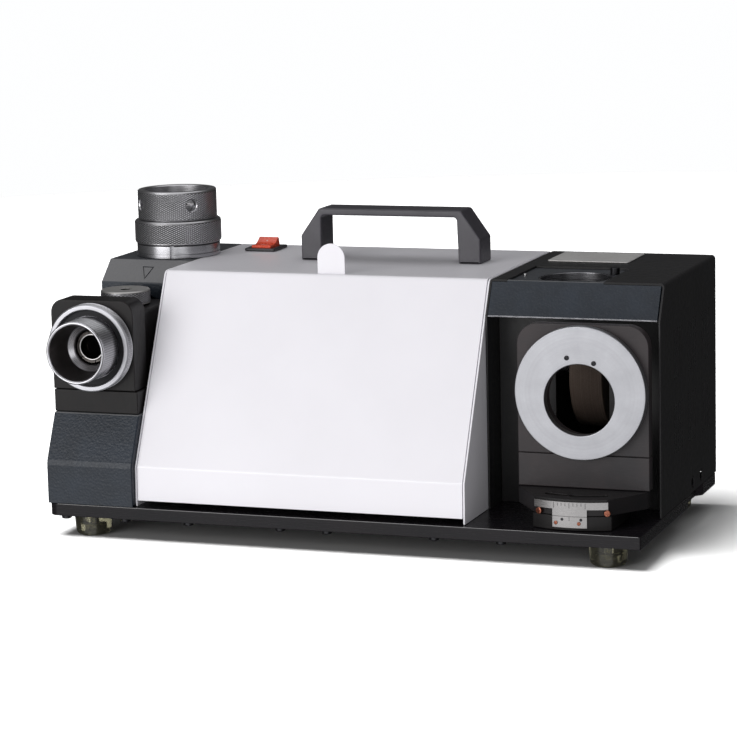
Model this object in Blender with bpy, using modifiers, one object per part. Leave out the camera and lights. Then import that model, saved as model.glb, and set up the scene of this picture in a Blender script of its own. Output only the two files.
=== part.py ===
"""Bench drill bit sharpener: motor hood in the middle, grinding head on the left, station on the right.

Lengths are in millimetres, measured from the base plate's lower front left corner: X to the right,
Y to the back, Z up.  place() turns them into metres around the object's origin, which is the middle
of its footprint on the bench.
"""

import bpy
import bmesh
from math import cos, pi, radians, sin
from mathutils import Matrix, Vector

MM = 0.001
GAP = 0.3                     # clearance between neighbouring pieces

# Driving dimensions
LENGTH = 500.0                # base plate, left to right
DEPTH = 246.0                 # base plate, front to back
FOOT_HEIGHT = 17.5
DECK = 10.0                   # top of the base plate
TOP = 193.6                   # top of the hood, the casting and the housing
REAR = 249.0                  # rear face of the covers
SHEET = 1.5                   # sheet metal thickness
CREASE_Y, CREASE_Z = 6.8, 42.8   # where the hood's front starts to lean back
BROW_Y = 80.0                 # front edge of the flat top
HOOD_LEFT, HOOD_RIGHT = 76.4, 357.6
HOUSING_LEFT, HOUSING_RIGHT = 358.0, 499.8
BAY_FRONT = 65.0              # front edge of the housing's side walls
BEAM_LOW = 166.0              # lower edge of the inclined beam above the bay

SHAFT_Y, SHAFT_Z = 150.0, 112.0
BRACKET_X, BRACKET_Z = 37.0, 138.0        # axis of the chuck in the left bracket
CHUCK_FRONT = -14.5                       # foremost point of that chuck
SLEEVE_X, SLEEVE_Y = 48.0, 174.0          # axis of the chuck in the setting sleeve
CLAMP_X, CLAMP_Y = 40.0, 80.0             # axis of the bracket's clamp wheel
PIVOT_X, PIVOT_Y = 441.8, 82.0            # vertical axis of the swivelling station
RING_Z, HOLE_Z = 111.8, 106.6             # middle of the cam ring and of its eccentric hole
HOLE_R = 28.2
PORT_X, PORT_Y = 419.5, 112.0             # axis of the port in the top of the housing
SCREW_X, SCREW_Y = 445.2, 134.0          # screw that locks the port's bush
SWITCH_X, SWITCH_Y, SWITCH_Z = 112.0, 215.0, 194.4
HINGE_Y, HINGE_Z = 9.8, 20.0              # the front door's hinge pin
GLAND_X, GLAND_Z = 305.0, 40.0
FUSE_X = 270.0
GLAND_REAR = 262.0                        # rearmost point of the cable gland

CENTRE_X = LENGTH / 2
CENTRE_Y = (CHUCK_FRONT + GLAND_REAR) / 2

ROUND = 32                    # sides of a large turned piece
SMALL_ROUND = 16              # sides of a small one
CUT_MARGIN = 1.0              # how far a cutter runs past the faces it opens

for old in list(bpy.data.objects):
    bpy.data.objects.remove(old, do_unlink=True)

PARTS = bpy.data.collections.new("drill_bit_sharpener")
CUTTERS = bpy.data.collections.new("cutters")
bpy.context.scene.collection.children.link(PARTS)
bpy.context.scene.collection.children.link(CUTTERS)

# name: (colour, roughness, metallic)
FINISHES = {
    "black_plate": ((0.018, 0.019, 0.022), 0.45, 0.6),
    "hammer_paint": ((0.018, 0.025, 0.038), 0.38, 0.2),
    "black_oxide": ((0.022, 0.021, 0.022), 0.42, 0.7),
    "black_sheet": ((0.012, 0.013, 0.015), 0.5, 0.1),
    "white_paint": ((0.80, 0.79, 0.82), 0.35, 0.0),
    "bright_steel": ((0.55, 0.55, 0.57), 0.28, 1.0),
    "knurled_steel": ((0.32, 0.32, 0.34), 0.4, 1.0),
    "aluminium": ((0.60, 0.60, 0.64), 0.35, 1.0),
    "black_plastic": ((0.02, 0.02, 0.024), 0.5, 0.0),
    "red_plastic": ((0.72, 0.06, 0.02), 0.3, 0.0),
    "rubber": ((0.10, 0.085, 0.05), 0.5, 0.0),
    "abrasive": ((0.05, 0.032, 0.024), 0.9, 0.0),
    "cast_aluminium": ((0.42, 0.43, 0.44), 0.55, 0.8),
    "silicon_steel": ((0.2, 0.2, 0.21), 0.5, 0.9),
    "grey_label": ((0.35, 0.35, 0.36), 0.4, 0.3),
    "grey_plastic": ((0.25, 0.25, 0.26), 0.5, 0.0),
}


def place(x, y, z):
    """A point of the machine, in metres around the object's origin."""
    return Vector(((x - CENTRE_X) * MM, (y - CENTRE_Y) * MM, (z + FOOT_HEIGHT) * MM))


def paint(obj, finish):
    """Give an object its own Principled material."""
    colour, roughness, metallic = FINISHES[finish]
    material = bpy.data.materials.new(obj.name)
    material.use_nodes = True
    shader = material.node_tree.nodes["Principled BSDF"]
    shader.inputs["Base Color"].default_value = (*colour, 1.0)
    shader.inputs["Roughness"].default_value = roughness
    shader.inputs["Metallic"].default_value = metallic
    material.diffuse_color = (*colour, 1.0)
    obj.data.materials.clear()
    obj.data.materials.append(material)


def add(name, mesh, location, rotation=(0, 0, 0), finish=None):
    """Link a mesh as a part, or as a cutter when it has no finish."""
    obj = bpy.data.objects.new(name, mesh)
    obj.location = location
    obj.rotation_euler = rotation
    if finish is None:
        CUTTERS.objects.link(obj)
        obj.display_type = "WIRE"
        obj.hide_render = True
    else:
        PARTS.objects.link(obj)
        paint(obj, finish)
    return obj


def box(name, xs, ys, zs, finish=None):
    """A block between two corners, with its origin in its middle."""
    bm = bmesh.new()
    bmesh.ops.create_cube(bm, size=MM)
    spans = (xs[1] - xs[0], ys[1] - ys[0], zs[1] - zs[0])
    bmesh.ops.scale(bm, vec=spans, verts=bm.verts)
    mesh = bpy.data.meshes.new(name)
    bm.to_mesh(mesh)
    bm.free()
    middle = place((xs[0] + xs[1]) / 2, (ys[0] + ys[1]) / 2, (zs[0] + zs[1]) / 2)
    return add(name, mesh, middle, finish=finish)


TURNS = {"X": (0, pi / 2, 0), "Y": (-pi / 2, 0, 0), "Z": (0, 0, 0)}


def turned(name, profile, axis, spot, steps=ROUND, finish=None):
    """A turned piece.

    profile: (radius, distance along the axis) points, with the distance read on the machine's own
    scale; it runs down the outer side from the far end to the near end and back up the bore.
    spot: a point of the axis.
    """
    mesh = bpy.data.meshes.new(name)
    count = len(profile)
    hollow = min(radius for radius, _ in profile) > 0
    edges = [(i, i + 1) for i in range(count - 1)]
    if hollow:
        edges.append((count - 1, 0))
    mesh.from_pydata([(radius * MM, 0, height * MM) for radius, height in profile], edges, [])
    base = [0.0 if axis == letter else value for letter, value in zip("XYZ", spot)]
    obj = add(name, mesh, place(*base), TURNS[axis], finish)
    screw = obj.modifiers.new("Screw", "SCREW")
    screw.axis = "Z"
    screw.angle = 2 * pi
    screw.steps = steps
    screw.render_steps = steps
    screw.use_merge_vertices = True
    screw.merge_threshold = 0.00005
    screw.use_smooth_shade = True
    return obj


def tube(inner, outer, low, high, chamfer=0.0):
    """Profile of a plain ring or, with an inner radius of 0, of a solid rod."""
    c = chamfer
    if c:
        wall = [(outer - c, high), (outer, high - c), (outer, low + c), (outer - c, low)]
    else:
        wall = [(outer, high), (outer, low)]
    if inner:
        return wall + [(inner, low), (inner, high)]
    return [(0, high)] + wall + [(0, low)]


def arc(centre, radius, start, end, count):
    """Points of an arc, from one angle to another in degrees."""
    angles = [radians(start + (end - start) * i / count) for i in range(count + 1)]
    return [(centre[0] + radius * cos(a), centre[1] + radius * sin(a)) for a in angles]


def rounded_box(x0, x1, y0, y1, radii, count=4):
    """Outline of a rectangle; radii are those of its lower left, lower right, upper right, upper left."""
    corners = ((x0, y0, 1, 1, 180), (x1, y0, -1, 1, 270), (x1, y1, -1, -1, 0), (x0, y1, 1, -1, 90))
    points = []
    for (x, y, sx, sy, start), radius in zip(corners, radii):
        if radius:
            points += arc((x + sx * radius, y + sy * radius), radius, start, start + 90, count)
        else:
            points.append((x, y))
    return points


PLANES = {"X": (pi / 2, 0, pi / 2), "Y": (pi / 2, 0, 0), "Z": (0, 0, 0)}


def extruded(name, outline, axis, low, high, finish=None):
    """A flat outline pulled along an axis.  The outline is in (Y, Z), (X, Z) or (X, Y)."""
    curve = bpy.data.curves.new(name, "CURVE")
    curve.dimensions = "2D"
    curve.fill_mode = "BOTH"
    curve.extrude = (high - low) / 2 * MM
    spline = curve.splines.new("POLY")
    spline.points.add(len(outline) - 1)
    for point, (u, v) in zip(spline.points, outline):
        point.co = (u * MM, v * MM, 0, 1)
    spline.use_cyclic_u = True
    shape = bpy.data.objects.new(name + "_outline", curve)
    CUTTERS.objects.link(shape)
    bpy.context.view_layer.update()
    evaluated = shape.evaluated_get(bpy.context.evaluated_depsgraph_get())
    mesh = bpy.data.meshes.new_from_object(evaluated)
    bpy.data.objects.remove(shape, do_unlink=True)
    bpy.data.curves.remove(curve)
    bm = bmesh.new()
    bm.from_mesh(mesh)
    bmesh.ops.remove_doubles(bm, verts=bm.verts, dist=0.00001)
    bmesh.ops.dissolve_limit(bm, angle_limit=radians(0.5), verts=bm.verts, edges=bm.edges)
    bmesh.ops.recalc_face_normals(bm, faces=bm.faces)
    bm.to_mesh(mesh)
    bm.free()
    mesh.name = name
    middle = (low + high) / 2
    spot = {"X": (middle, 0, 0), "Y": (0, middle, 0), "Z": (0, 0, middle)}[axis]
    return add(name, mesh, place(*spot), PLANES[axis], finish)


def sheet(name, path, low, high, finish, thickness=SHEET):
    """Bent sheet metal: a (Y, Z) path, read from front to back over the top, pulled along X."""
    bm = bmesh.new()
    left = [bm.verts.new(place(low, y, z)) for y, z in path]
    right = [bm.verts.new(place(high, y, z)) for y, z in path]
    for i in range(len(path) - 1):
        bm.faces.new((left[i], right[i], right[i + 1], left[i + 1]))
    mesh = bpy.data.meshes.new(name)
    bm.to_mesh(mesh)
    bm.free()
    obj = add(name, mesh, (0, 0, 0), finish=finish)
    solid = obj.modifiers.new("Solidify", "SOLIDIFY")
    solid.thickness = thickness * MM
    solid.offset = -1
    solid.use_even_offset = True
    return obj


def bevel(obj, width, segments=2, angle=40):
    modifier = obj.modifiers.new("Bevel", "BEVEL")
    modifier.width = width * MM
    modifier.segments = segments
    modifier.limit_method = "ANGLE"
    modifier.angle_limit = radians(angle)
    return obj


def combine(target, tool, operation):
    """Cut a tool out of a part, or weld it on."""
    modifier = target.modifiers.new(tool.name, "BOOLEAN")
    modifier.operation = operation
    modifier.solver = "EXACT"
    modifier.object = tool
    return target


def cut(target, tool):
    return combine(target, tool, "DIFFERENCE")


def weld(target, tool):
    return combine(target, tool, "UNION")


def drill(target, name, axis, spot, radius, low, high, steps=ROUND):
    """A round hole along an axis."""
    return cut(target, turned(name, tube(0, radius, low, high), axis, spot, steps))


def merged(name, shapes):
    """Several separate blocks as one cutter."""
    mesh = bpy.data.meshes.new(name)
    bm = bmesh.new()
    for shape in shapes:
        part = shape.data.copy()
        part.transform(Matrix.LocRotScale(shape.location, shape.rotation_euler, None))
        bm.from_mesh(part)
        bpy.data.meshes.remove(part)
        bpy.data.objects.remove(shape, do_unlink=True)
    bm.to_mesh(mesh)
    bm.free()
    return add(name, mesh, (0, 0, 0))


# ---------------------------------------------------------------- base

FOOT_INSET_X, FOOT_INSET_Y, FOOT_R = 31.0, 21.0, 15.5
NOTCH = [(LENGTH, 150), (LENGTH - 5, 156), (LENGTH - 5, 195), (LENGTH, 201)]   # relief in the right edge


def base_plate():
    outline = rounded_box(0, LENGTH, 0, DEPTH, (9, 2, 2, 5))
    front_right_end = 10                  # index where the outline starts up the right edge
    outline = outline[:front_right_end] + NOTCH + outline[front_right_end:]
    plate = extruded("base_plate", outline, "Z", 0, DECK, "black_plate")
    bevel(plate, 0.8, 1, 60)


def feet():
    rows = (("front", FOOT_INSET_Y), ("rear", DEPTH - FOOT_INSET_Y))
    columns = (("left", FOOT_INSET_X), ("right", LENGTH - FOOT_INSET_X))
    bottom, top = -FOOT_HEIGHT, -GAP
    recess_r, recess_top = 8.0, -7.5      # the screw head sits up inside the rubber
    for row, y in rows:
        for column, x in columns:
            profile = [
                (FOOT_R, top), (FOOT_R, top - 5), (FOOT_R - 1.5, bottom + 1), (FOOT_R - 3, bottom),
                (recess_r, bottom), (recess_r, recess_top), (3.4, recess_top), (3.4, top),
            ]
            turned(f"foot_{row}_{column}", profile, "Z", (x, y, 0), SMALL_ROUND, "rubber")


# ---------------------------------------------------------------- left grinding head

CASTING_WALL = 5.0
SHELF_Z = 83.0                # the step that carries the bracket
HEAD_FRONT = 118.0            # upper front wall
HEAD_SLOPE_Z = 176.6
HEAD_BROW = 137.5


def head_casting():
    foot = DECK + GAP
    outer = [
        (1, foot), (1, 42), (1.8, 46), (19.5, SHELF_Z), (HEAD_FRONT, SHELF_Z), (HEAD_FRONT, HEAD_SLOPE_Z),
        (HEAD_BROW - 1, TOP - 0.8), (HEAD_BROW + 1, TOP), (REAR, TOP), (REAR, foot),
    ]
    w = CASTING_WALL
    inner = [
        (1 + w, foot - CUT_MARGIN), (1 + w, 43), (19.5 + w, SHELF_Z - w), (HEAD_FRONT + w, SHELF_Z - w),
        (HEAD_FRONT + w, HEAD_SLOPE_Z - 2), (HEAD_BROW + 3, TOP - w), (REAR - w, TOP - w),
        (REAR - w, foot - CUT_MARGIN),
    ]
    casting = extruded("head_casting", outer, "X", 0, HOOD_LEFT - GAP, "hammer_paint")
    bevel(casting, 1.2, 2, 35)
    cut(casting, extruded("cut_casting_inside", inner, "X", w, HOOD_LEFT - GAP - w))
    drill(casting, "cut_casting_shaft", "X", (0, SHAFT_Y, SHAFT_Z), 20, 60, 80, 24)
    drill(casting, "cut_casting_window", "Y", (BRACKET_X, 0, BRACKET_Z), 29, 110, 130, 32)
    drill(casting, "cut_casting_sleeve", "Z", (SLEEVE_X, SLEEVE_Y, 0), SLEEVE_NECK_R + GAP, 170, 200)


BRACKET_FRONT, BRACKET_FACE, BRACKET_REAR = 20.5, 45.0, 112.0
BRACKET_STEP, BRACKET_TOP, BOSS_TOP = 101.7, 176.0, 164.0
BORE_FRONT_R, BORE_REAR_R, BORE_STEP = 27.4, 22.9, 44.4


def bracket():
    box("bracket_foot", (0.5, 75), (20, BRACKET_REAR), (SHELF_Z + GAP, BRACKET_STEP), "black_oxide")
    bevel(bpy.data.objects["bracket_foot"], 0.8, 1)
    low = BRACKET_STEP + GAP
    outline = rounded_box(0, 73, low, BRACKET_TOP, (0, 0, 11, 11), 5)
    block = extruded("bracket_block", outline, "Y", BRACKET_FRONT, BRACKET_FACE, "black_oxide")
    bevel(block, 0.7, 1, 60)
    weld(block, box("add_bracket_boss", (4, 70), (BRACKET_FACE - 5, BRACKET_REAR), (low + 1, BOSS_TOP)))
    spot = (BRACKET_X, 0, BRACKET_Z)
    bore = [
        (0, BRACKET_REAR + 1), (BORE_REAR_R, BRACKET_REAR + 1), (BORE_REAR_R, BORE_STEP),
        (BORE_FRONT_R, BORE_STEP),
        (BORE_FRONT_R, BRACKET_FRONT - 1), (0, BRACKET_FRONT - 1),
    ]
    cut(block, turned("cut_bracket_bore", bore, "Y", spot))
    drill(block, "cut_bracket_clamp", "Z", (CLAMP_X, CLAMP_Y, 0), 5.3, 150, 170, SMALL_ROUND)


def clamp_wheel():
    """Knurled wheel on a short screw; a hexagon socket in its middle."""
    low, high, radius, stud_r, stud_low = BOSS_TOP + 1, 176.8, 20.6, 5.0, 162.2
    profile = [
        (0, high), (radius - 1, high), (radius, high - 1), (radius, low + 1), (radius - 1, low),
        (stud_r, low), (stud_r, stud_low), (0, stud_low),
    ]
    spot = (CLAMP_X, CLAMP_Y, 0)
    wheel = turned("clamp_wheel", profile, "Z", spot, ROUND, "knurled_steel")
    cut(wheel, turned("cut_clamp_socket", tube(0, 4.6, high - 6, high + 1), "Z", spot, 6))


def left_chuck():
    """Collet chuck lying in the bracket: body, knurled clamping ring and collet."""
    spot = (BRACKET_X, 0, BRACKET_Z)
    front, seat, nose_r, mouth_r = CHUCK_FRONT, 20.7, 25.6, 23.1
    throat, throat_r, collet_r, tail = 13.0, 19.2, 14.9, 100.0
    body = [
        (22.5, tail), (22.5, BORE_STEP - GAP), (27, BORE_STEP - GAP), (27, seat), (nose_r, seat),
        (nose_r, front + 0.8), (nose_r - 0.8, front), (mouth_r + 0.6, front), (mouth_r, front + 0.6),
        (throat_r, throat), (collet_r + 0.6, throat + 3), (collet_r, throat + 4), (collet_r, tail),
    ]
    turned("left_chuck_body", body, "Y", spot, ROUND, "bright_steel")
    ring_r, rim_r, ring_front, ring_back = 35.9, 31.4, 10.5, 20.2
    ring = [
        (ring_r - 0.8, ring_back), (ring_r, ring_back - 0.8), (ring_r, ring_front + 1),
        (ring_r - 1, ring_front),
        (rim_r + 0.5, ring_front), (rim_r, ring_front + 3), (nose_r + GAP, ring_front + 3),
        (nose_r + GAP, ring_back),
    ]
    turned("left_chuck_ring", ring, "Y", spot, ROUND, "knurled_steel")
    bore, collet_front, collet_back = 8.0, 17.5, 70.0
    collet = [
        (collet_r - 0.4, collet_back), (collet_r - 0.4, collet_front + 3), (collet_r - 2.4, collet_front),
        (10.8, collet_front), (bore, collet_front + 3), (bore, collet_back),
    ]
    turned("left_chuck_collet", collet, "Y", spot, SMALL_ROUND, "bright_steel")


SLEEVE_R, SLEEVE_BORE_R, SLEEVE_NECK_R = 35.4, 24.5, 27.0
SLEEVE_FLANGE, SLEEVE_TOP, SLEEVE_LOW = 197.0, 204.4, 176.0
LOWER_RING_TOP, CHUCK_TOP = 224.9, 250.3
SLOT_ANGLE = -76.0            # where the sleeve's key slot looks, from +X


def setting_sleeve():
    floor = TOP + GAP
    profile = [
        (SLEEVE_R, SLEEVE_TOP), (SLEEVE_R, SLEEVE_FLANGE + 0.5), (SLEEVE_R - 0.6, SLEEVE_FLANGE + 0.25),
        (SLEEVE_R, SLEEVE_FLANGE), (SLEEVE_R, floor), (SLEEVE_NECK_R, floor), (SLEEVE_NECK_R, SLEEVE_LOW),
        (SLEEVE_BORE_R, SLEEVE_LOW), (SLEEVE_BORE_R, SLEEVE_TOP),
    ]
    sleeve = turned("setting_sleeve", profile, "Z", (SLEEVE_X, SLEEVE_Y, 0), ROUND, "bright_steel")
    slot = box("cut_sleeve_slot", (0, 1), (0, 1), (floor - 1, SLEEVE_TOP + 1))
    slot.scale = (8, 3.4, 1)
    angle = radians(SLOT_ANGLE)
    reach = SLEEVE_R
    slot_x, slot_y = SLEEVE_X + reach * cos(angle), SLEEVE_Y + reach * sin(angle)
    slot.location = place(slot_x, slot_y, (floor + SLEEVE_TOP) / 2)
    slot.rotation_euler = (0, 0, angle)
    cut(sleeve, slot)


def top_chuck():
    """Collet chuck standing in the setting sleeve: body, two knurled rings and collet."""
    spot = (SLEEVE_X, SLEEVE_Y, 0)
    body_r, low, high, cone_r = 26.6, 172.0, 238.0, 19.9
    body = [
        (body_r, high), (body_r, SLEEVE_TOP + 0.2), (SLEEVE_BORE_R - GAP, SLEEVE_TOP),
        (SLEEVE_BORE_R - GAP, low),
        (cone_r, low), (cone_r, high - 4), (cone_r + 2.5, high),
    ]
    turned("top_chuck_body", body, "Z", spot, ROUND, "bright_steel")
    inner = body_r + GAP
    lower = tube(inner, 37.0, SLEEVE_TOP + 0.4, LOWER_RING_TOP, 1.6)
    turned("top_chuck_lower_ring", lower, "Z", spot, ROUND, "knurled_steel")
    upper = [
        (33.0, CHUCK_TOP), (33.75, CHUCK_TOP - 0.8), (33.75, LOWER_RING_TOP + 1.3),
        (32.9, LOWER_RING_TOP + 0.5),
        (inner, LOWER_RING_TOP + 0.5), (inner, CHUCK_TOP - 0.8), (inner + 0.8, CHUCK_TOP),
    ]
    ring = turned("top_chuck_upper_ring", upper, "Z", spot, ROUND, "knurled_steel")
    hole_z, hole_r, hole_count, first = 238.6, 4.9, 4, -45.0
    for i in range(hole_count):
        angle = radians(first + 360 / hole_count * i)
        hole = turned(f"cut_tommy_hole_{i}", tube(0, hole_r, 28, 40), "Z", spot, 12)
        hole.location = place(SLEEVE_X, SLEEVE_Y, hole_z)
        hole.rotation_euler = (0, pi / 2, angle)
        cut(ring, hole)
    bore, collet_low = 7.5, 178.0
    collet = [
        (cone_r - 3, high - 2), (cone_r - 0.4, high - 7), (cone_r - 0.4, collet_low), (bore, collet_low),
        (bore, high - 4), (bore + 2, high - 2),
    ]
    turned("top_chuck_collet", collet, "Z", spot, SMALL_ROUND, "bright_steel")


# ---------------------------------------------------------------- hood

def hood_side(name, low, finish):
    foot = DECK + GAP
    outline = [
        (CREASE_Y - 0.8, foot), (CREASE_Y, CREASE_Z), (BROW_Y - 1.5, TOP - 2.5), (BROW_Y + 2, TOP - 0.2),
        (REAR - 2, TOP - 0.2), (REAR, TOP - 2), (REAR, foot),
    ]
    plate = extruded(name, outline, "X", low, low + SHEET, finish)
    drill(plate, "cut_" + name, "X", (0, SHAFT_Y, SHAFT_Z), 20, low - 1, low + SHEET + 1, 24)
    return plate


def door_path():
    """The front door's outer face, from its lower edge up over the brow."""
    lean = (BROW_Y - CREASE_Y) / (TOP - CREASE_Z)
    bend = 3.0
    return [
        (CREASE_Y - 0.8, 15.2), (CREASE_Y - 0.1, CREASE_Z - bend),
        (CREASE_Y + 0.4, CREASE_Z - 0.2), (CREASE_Y + lean * bend, CREASE_Z + bend),
        (BROW_Y - lean * 5, TOP - 5), (BROW_Y - 1.0, TOP - 2.2), (BROW_Y + 1.0, TOP - 0.6),
        (BROW_Y + 3.2, TOP),
        (BROW_Y + 5.5, TOP),
    ]


def front_door():
    """Sheet door that opens on a pin along its foot, with a half-round finger tab on its top edge."""
    low, high = HOOD_LEFT + SHEET + 0.5, HOOD_RIGHT - SHEET - 0.5
    door = sheet("front_door", door_path(), low, high, "white_paint")
    tab_x, tab_r, tab_top = 221.7, 11.8, 218.2
    tab = arc((tab_x, tab_top - tab_r), tab_r, 0, 180, 10)
    tab += [(tab_x - tab_r, TOP - 1), (tab_x + tab_r, TOP - 1)]
    weld(door, extruded("add_door_tab", tab, "Y", BROW_Y + 4.0, BROW_Y + 5.5))
    knuckle_r, pin_r = 3.0, 1.4
    for side, x in (("left", low + 14), ("right", high - 34)):
        spot = (0, HINGE_Y, HINGE_Z)
        weld(door, turned(f"add_knuckle_{side}", tube(0, knuckle_r, x, x + 20), "X", spot, 16))
    drill(door, "cut_door_pin", "X", (0, HINGE_Y, HINGE_Z), pin_r + GAP, low - 1, high + 1, 16)
    turned("door_pin", tube(0, pin_r, low, high), "X", (0, HINGE_Y, HINGE_Z), 12, "bright_steel")


def hood():
    hood_side("hood_left_plate", HOOD_LEFT, "white_paint")
    hood_side("hood_right_plate", HOOD_RIGHT - SHEET, "white_paint")
    low, high = HOOD_LEFT + SHEET + GAP, HOOD_RIGHT - SHEET - GAP
    path = [(BROW_Y + 6.2, TOP), (REAR - 3, TOP), (REAR - 0.9, TOP - 0.9), (REAR, TOP - 3), (REAR, DECK + GAP)]
    shell = sheet("hood_shell", path, low, high, "white_paint")
    half_x, half_y = 12.6, 14.0
    hole = box("cut_hood_switch", (SWITCH_X - half_x, SWITCH_X + half_x), (SWITCH_Y - half_y, SWITCH_Y + half_y),
               (TOP - 4, TOP + 2))
    cut(shell, hole)
    drill(shell, "cut_hood_gland", "Y", (GLAND_X, 0, GLAND_Z), 8.4, REAR - 5, REAR + 2, SMALL_ROUND)
    drill(shell, "cut_hood_fuse", "Y", (FUSE_X, 0, GLAND_Z), 6.2, REAR - 5, REAR + 2, SMALL_ROUND)
    slots = []
    for i in range(9):
        x = 130 + 8 * i
        slots.append(box(f"slot_{i}", (x, x + 3), (REAR - 5, REAR + 2), (100, 145)))
    cut(shell, merged("cut_hood_louvres", slots))


HANDLE_X = (167.5, 325.0)
HANDLE_Y = (157.0, 186.0)
HANDLE_TOP = 237.6


def handle():
    x0, x1 = HANDLE_X
    foot, shoulder, slope, leg, bar = TOP + GAP, 214.4, 16.5, 18.3, 5.8
    under = HANDLE_TOP - bar
    outer = [
        (x1, foot), (x1, shoulder), (x1 - 0.7, shoulder + 1.4), (x1 - slope + 1, HANDLE_TOP - 1.2),
        (x1 - slope - 1, HANDLE_TOP), (x0 + slope + 1, HANDLE_TOP), (x0 + slope - 1, HANDLE_TOP - 1.2),
        (x0 + 0.7, shoulder + 1.4), (x0, shoulder), (x0, foot),
    ]
    inner_r = 3.0
    left = (x0 + leg + inner_r, under - inner_r)
    right = (x1 - leg - 2 - inner_r, under - inner_r)
    inner = [(x0 + leg, foot)] + arc(left, inner_r, 180, 90, 3)
    inner += arc(right, inner_r, 90, 0, 3) + [(x1 - leg - 0.8, foot)]
    bevel(extruded("handle", outer + inner, "Y", *HANDLE_Y, "black_plastic"), 1.3, 2, 35)


def rocker_switch():
    x, y = SWITCH_X, SWITCH_Y
    bezel = box("switch_bezel", (x - 14, x + 14), (y - 15.5, y + 15.5), (TOP + GAP, TOP + 2.8), "black_plastic")
    bevel(bezel, 0.9, 2)
    weld(bezel, box("add_switch_body", (x - 12, x + 12), (y - 13.4, y + 13.4), (168, TOP + 1)))
    cut(bezel, box("cut_switch_well", (x - 9.4, x + 9.4), (y - 12.3, y + 12.3), (182, TOP + 4)))
    half, lobe, dip, tilt = 10.5, 7.0, 4.2, radians(16)
    neutral = [(half, -2), (half, lobe - 1), (half - 1, lobe), (0, dip), (1 - half, lobe), (-half, lobe - 1),
               (-half, -2), (0, -8)]
    tilted = [(u * cos(tilt) - v * sin(tilt), u * sin(tilt) + v * cos(tilt)) for u, v in neutral]
    rocker = extruded("switch_rocker", [(y + u, SWITCH_Z + v) for u, v in tilted], "X", x - 8.8, x + 8.8,
                      "red_plastic")
    bevel(rocker, 0.5, 1, 50)


# ---------------------------------------------------------------- right housing

VENT_ROWS = (53.0, 112.0)
VENT_HEIGHT = 41.5
VENT_GROUPS = (107.5, 153.0, 199.5)
VENT_PITCH, VENT_WIDTH, VENT_SLOTS = 6.0, 2.2, 5
CUTOUT_X = (372.0, 451.2)
CUTOUT_REAR = 158.0
BUSH_BORE_R, BUSH_R = 28.5, 29.9


def housing_shell():
    """Left wall, top and louvred right wall, bent from one sheet."""
    foot, t, r = DECK + GAP, SHEET, 2.5
    x0, x1 = HOUSING_LEFT, HOUSING_RIGHT
    outer = [(x0, foot), (x0, TOP)] + arc((x1 - r, TOP - r), r, 90, 0, 3) + [(x1, foot)]
    inner = [(x1 - 1.2, foot), (x1 - 1.2, TOP - r)] + [(x1 - r, TOP - t), (x0 + t, TOP - t), (x0 + t, foot)]
    shell = extruded("housing_shell", outer + inner, "Y", BAY_FRONT, REAR, "black_sheet")
    lean = (BROW_Y - BAY_FRONT) / (TOP - BEAM_LOW)
    wedge = [(BAY_FRONT - 1, BEAM_LOW), (BAY_FRONT, BEAM_LOW), (BROW_Y + lean, TOP + 1), (BAY_FRONT - 1, TOP + 1)]
    cut(shell, extruded("cut_housing_brow", wedge, "X", x0 - 1, x1 + 1))
    cut(shell, box("cut_housing_port", CUTOUT_X, (BAY_FRONT, CUTOUT_REAR), (TOP - 4, TOP + 2)))
    slots = []
    for row in VENT_ROWS:
        for group in VENT_GROUPS:
            for i in range(VENT_SLOTS):
                y = group + VENT_PITCH * i
                slots.append(box(f"vent_{row}_{group}_{i}", (x1 - 4, x1 + 2), (y, y + VENT_WIDTH),
                                 (row, row + VENT_HEIGHT)))
    cut(shell, merged("cut_housing_vents", slots))
    drill(shell, "cut_housing_shaft", "X", (0, SHAFT_Y, SHAFT_Z), 20, x0 - 1, x0 + t + 1, 24)
    for i, y in enumerate((168.0, 197.0)):
        drill(shell, f"cut_housing_port_{i}", "X", (0, y, 18.0), 5.5, x1 - 4, x1 + 2, 16)


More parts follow.
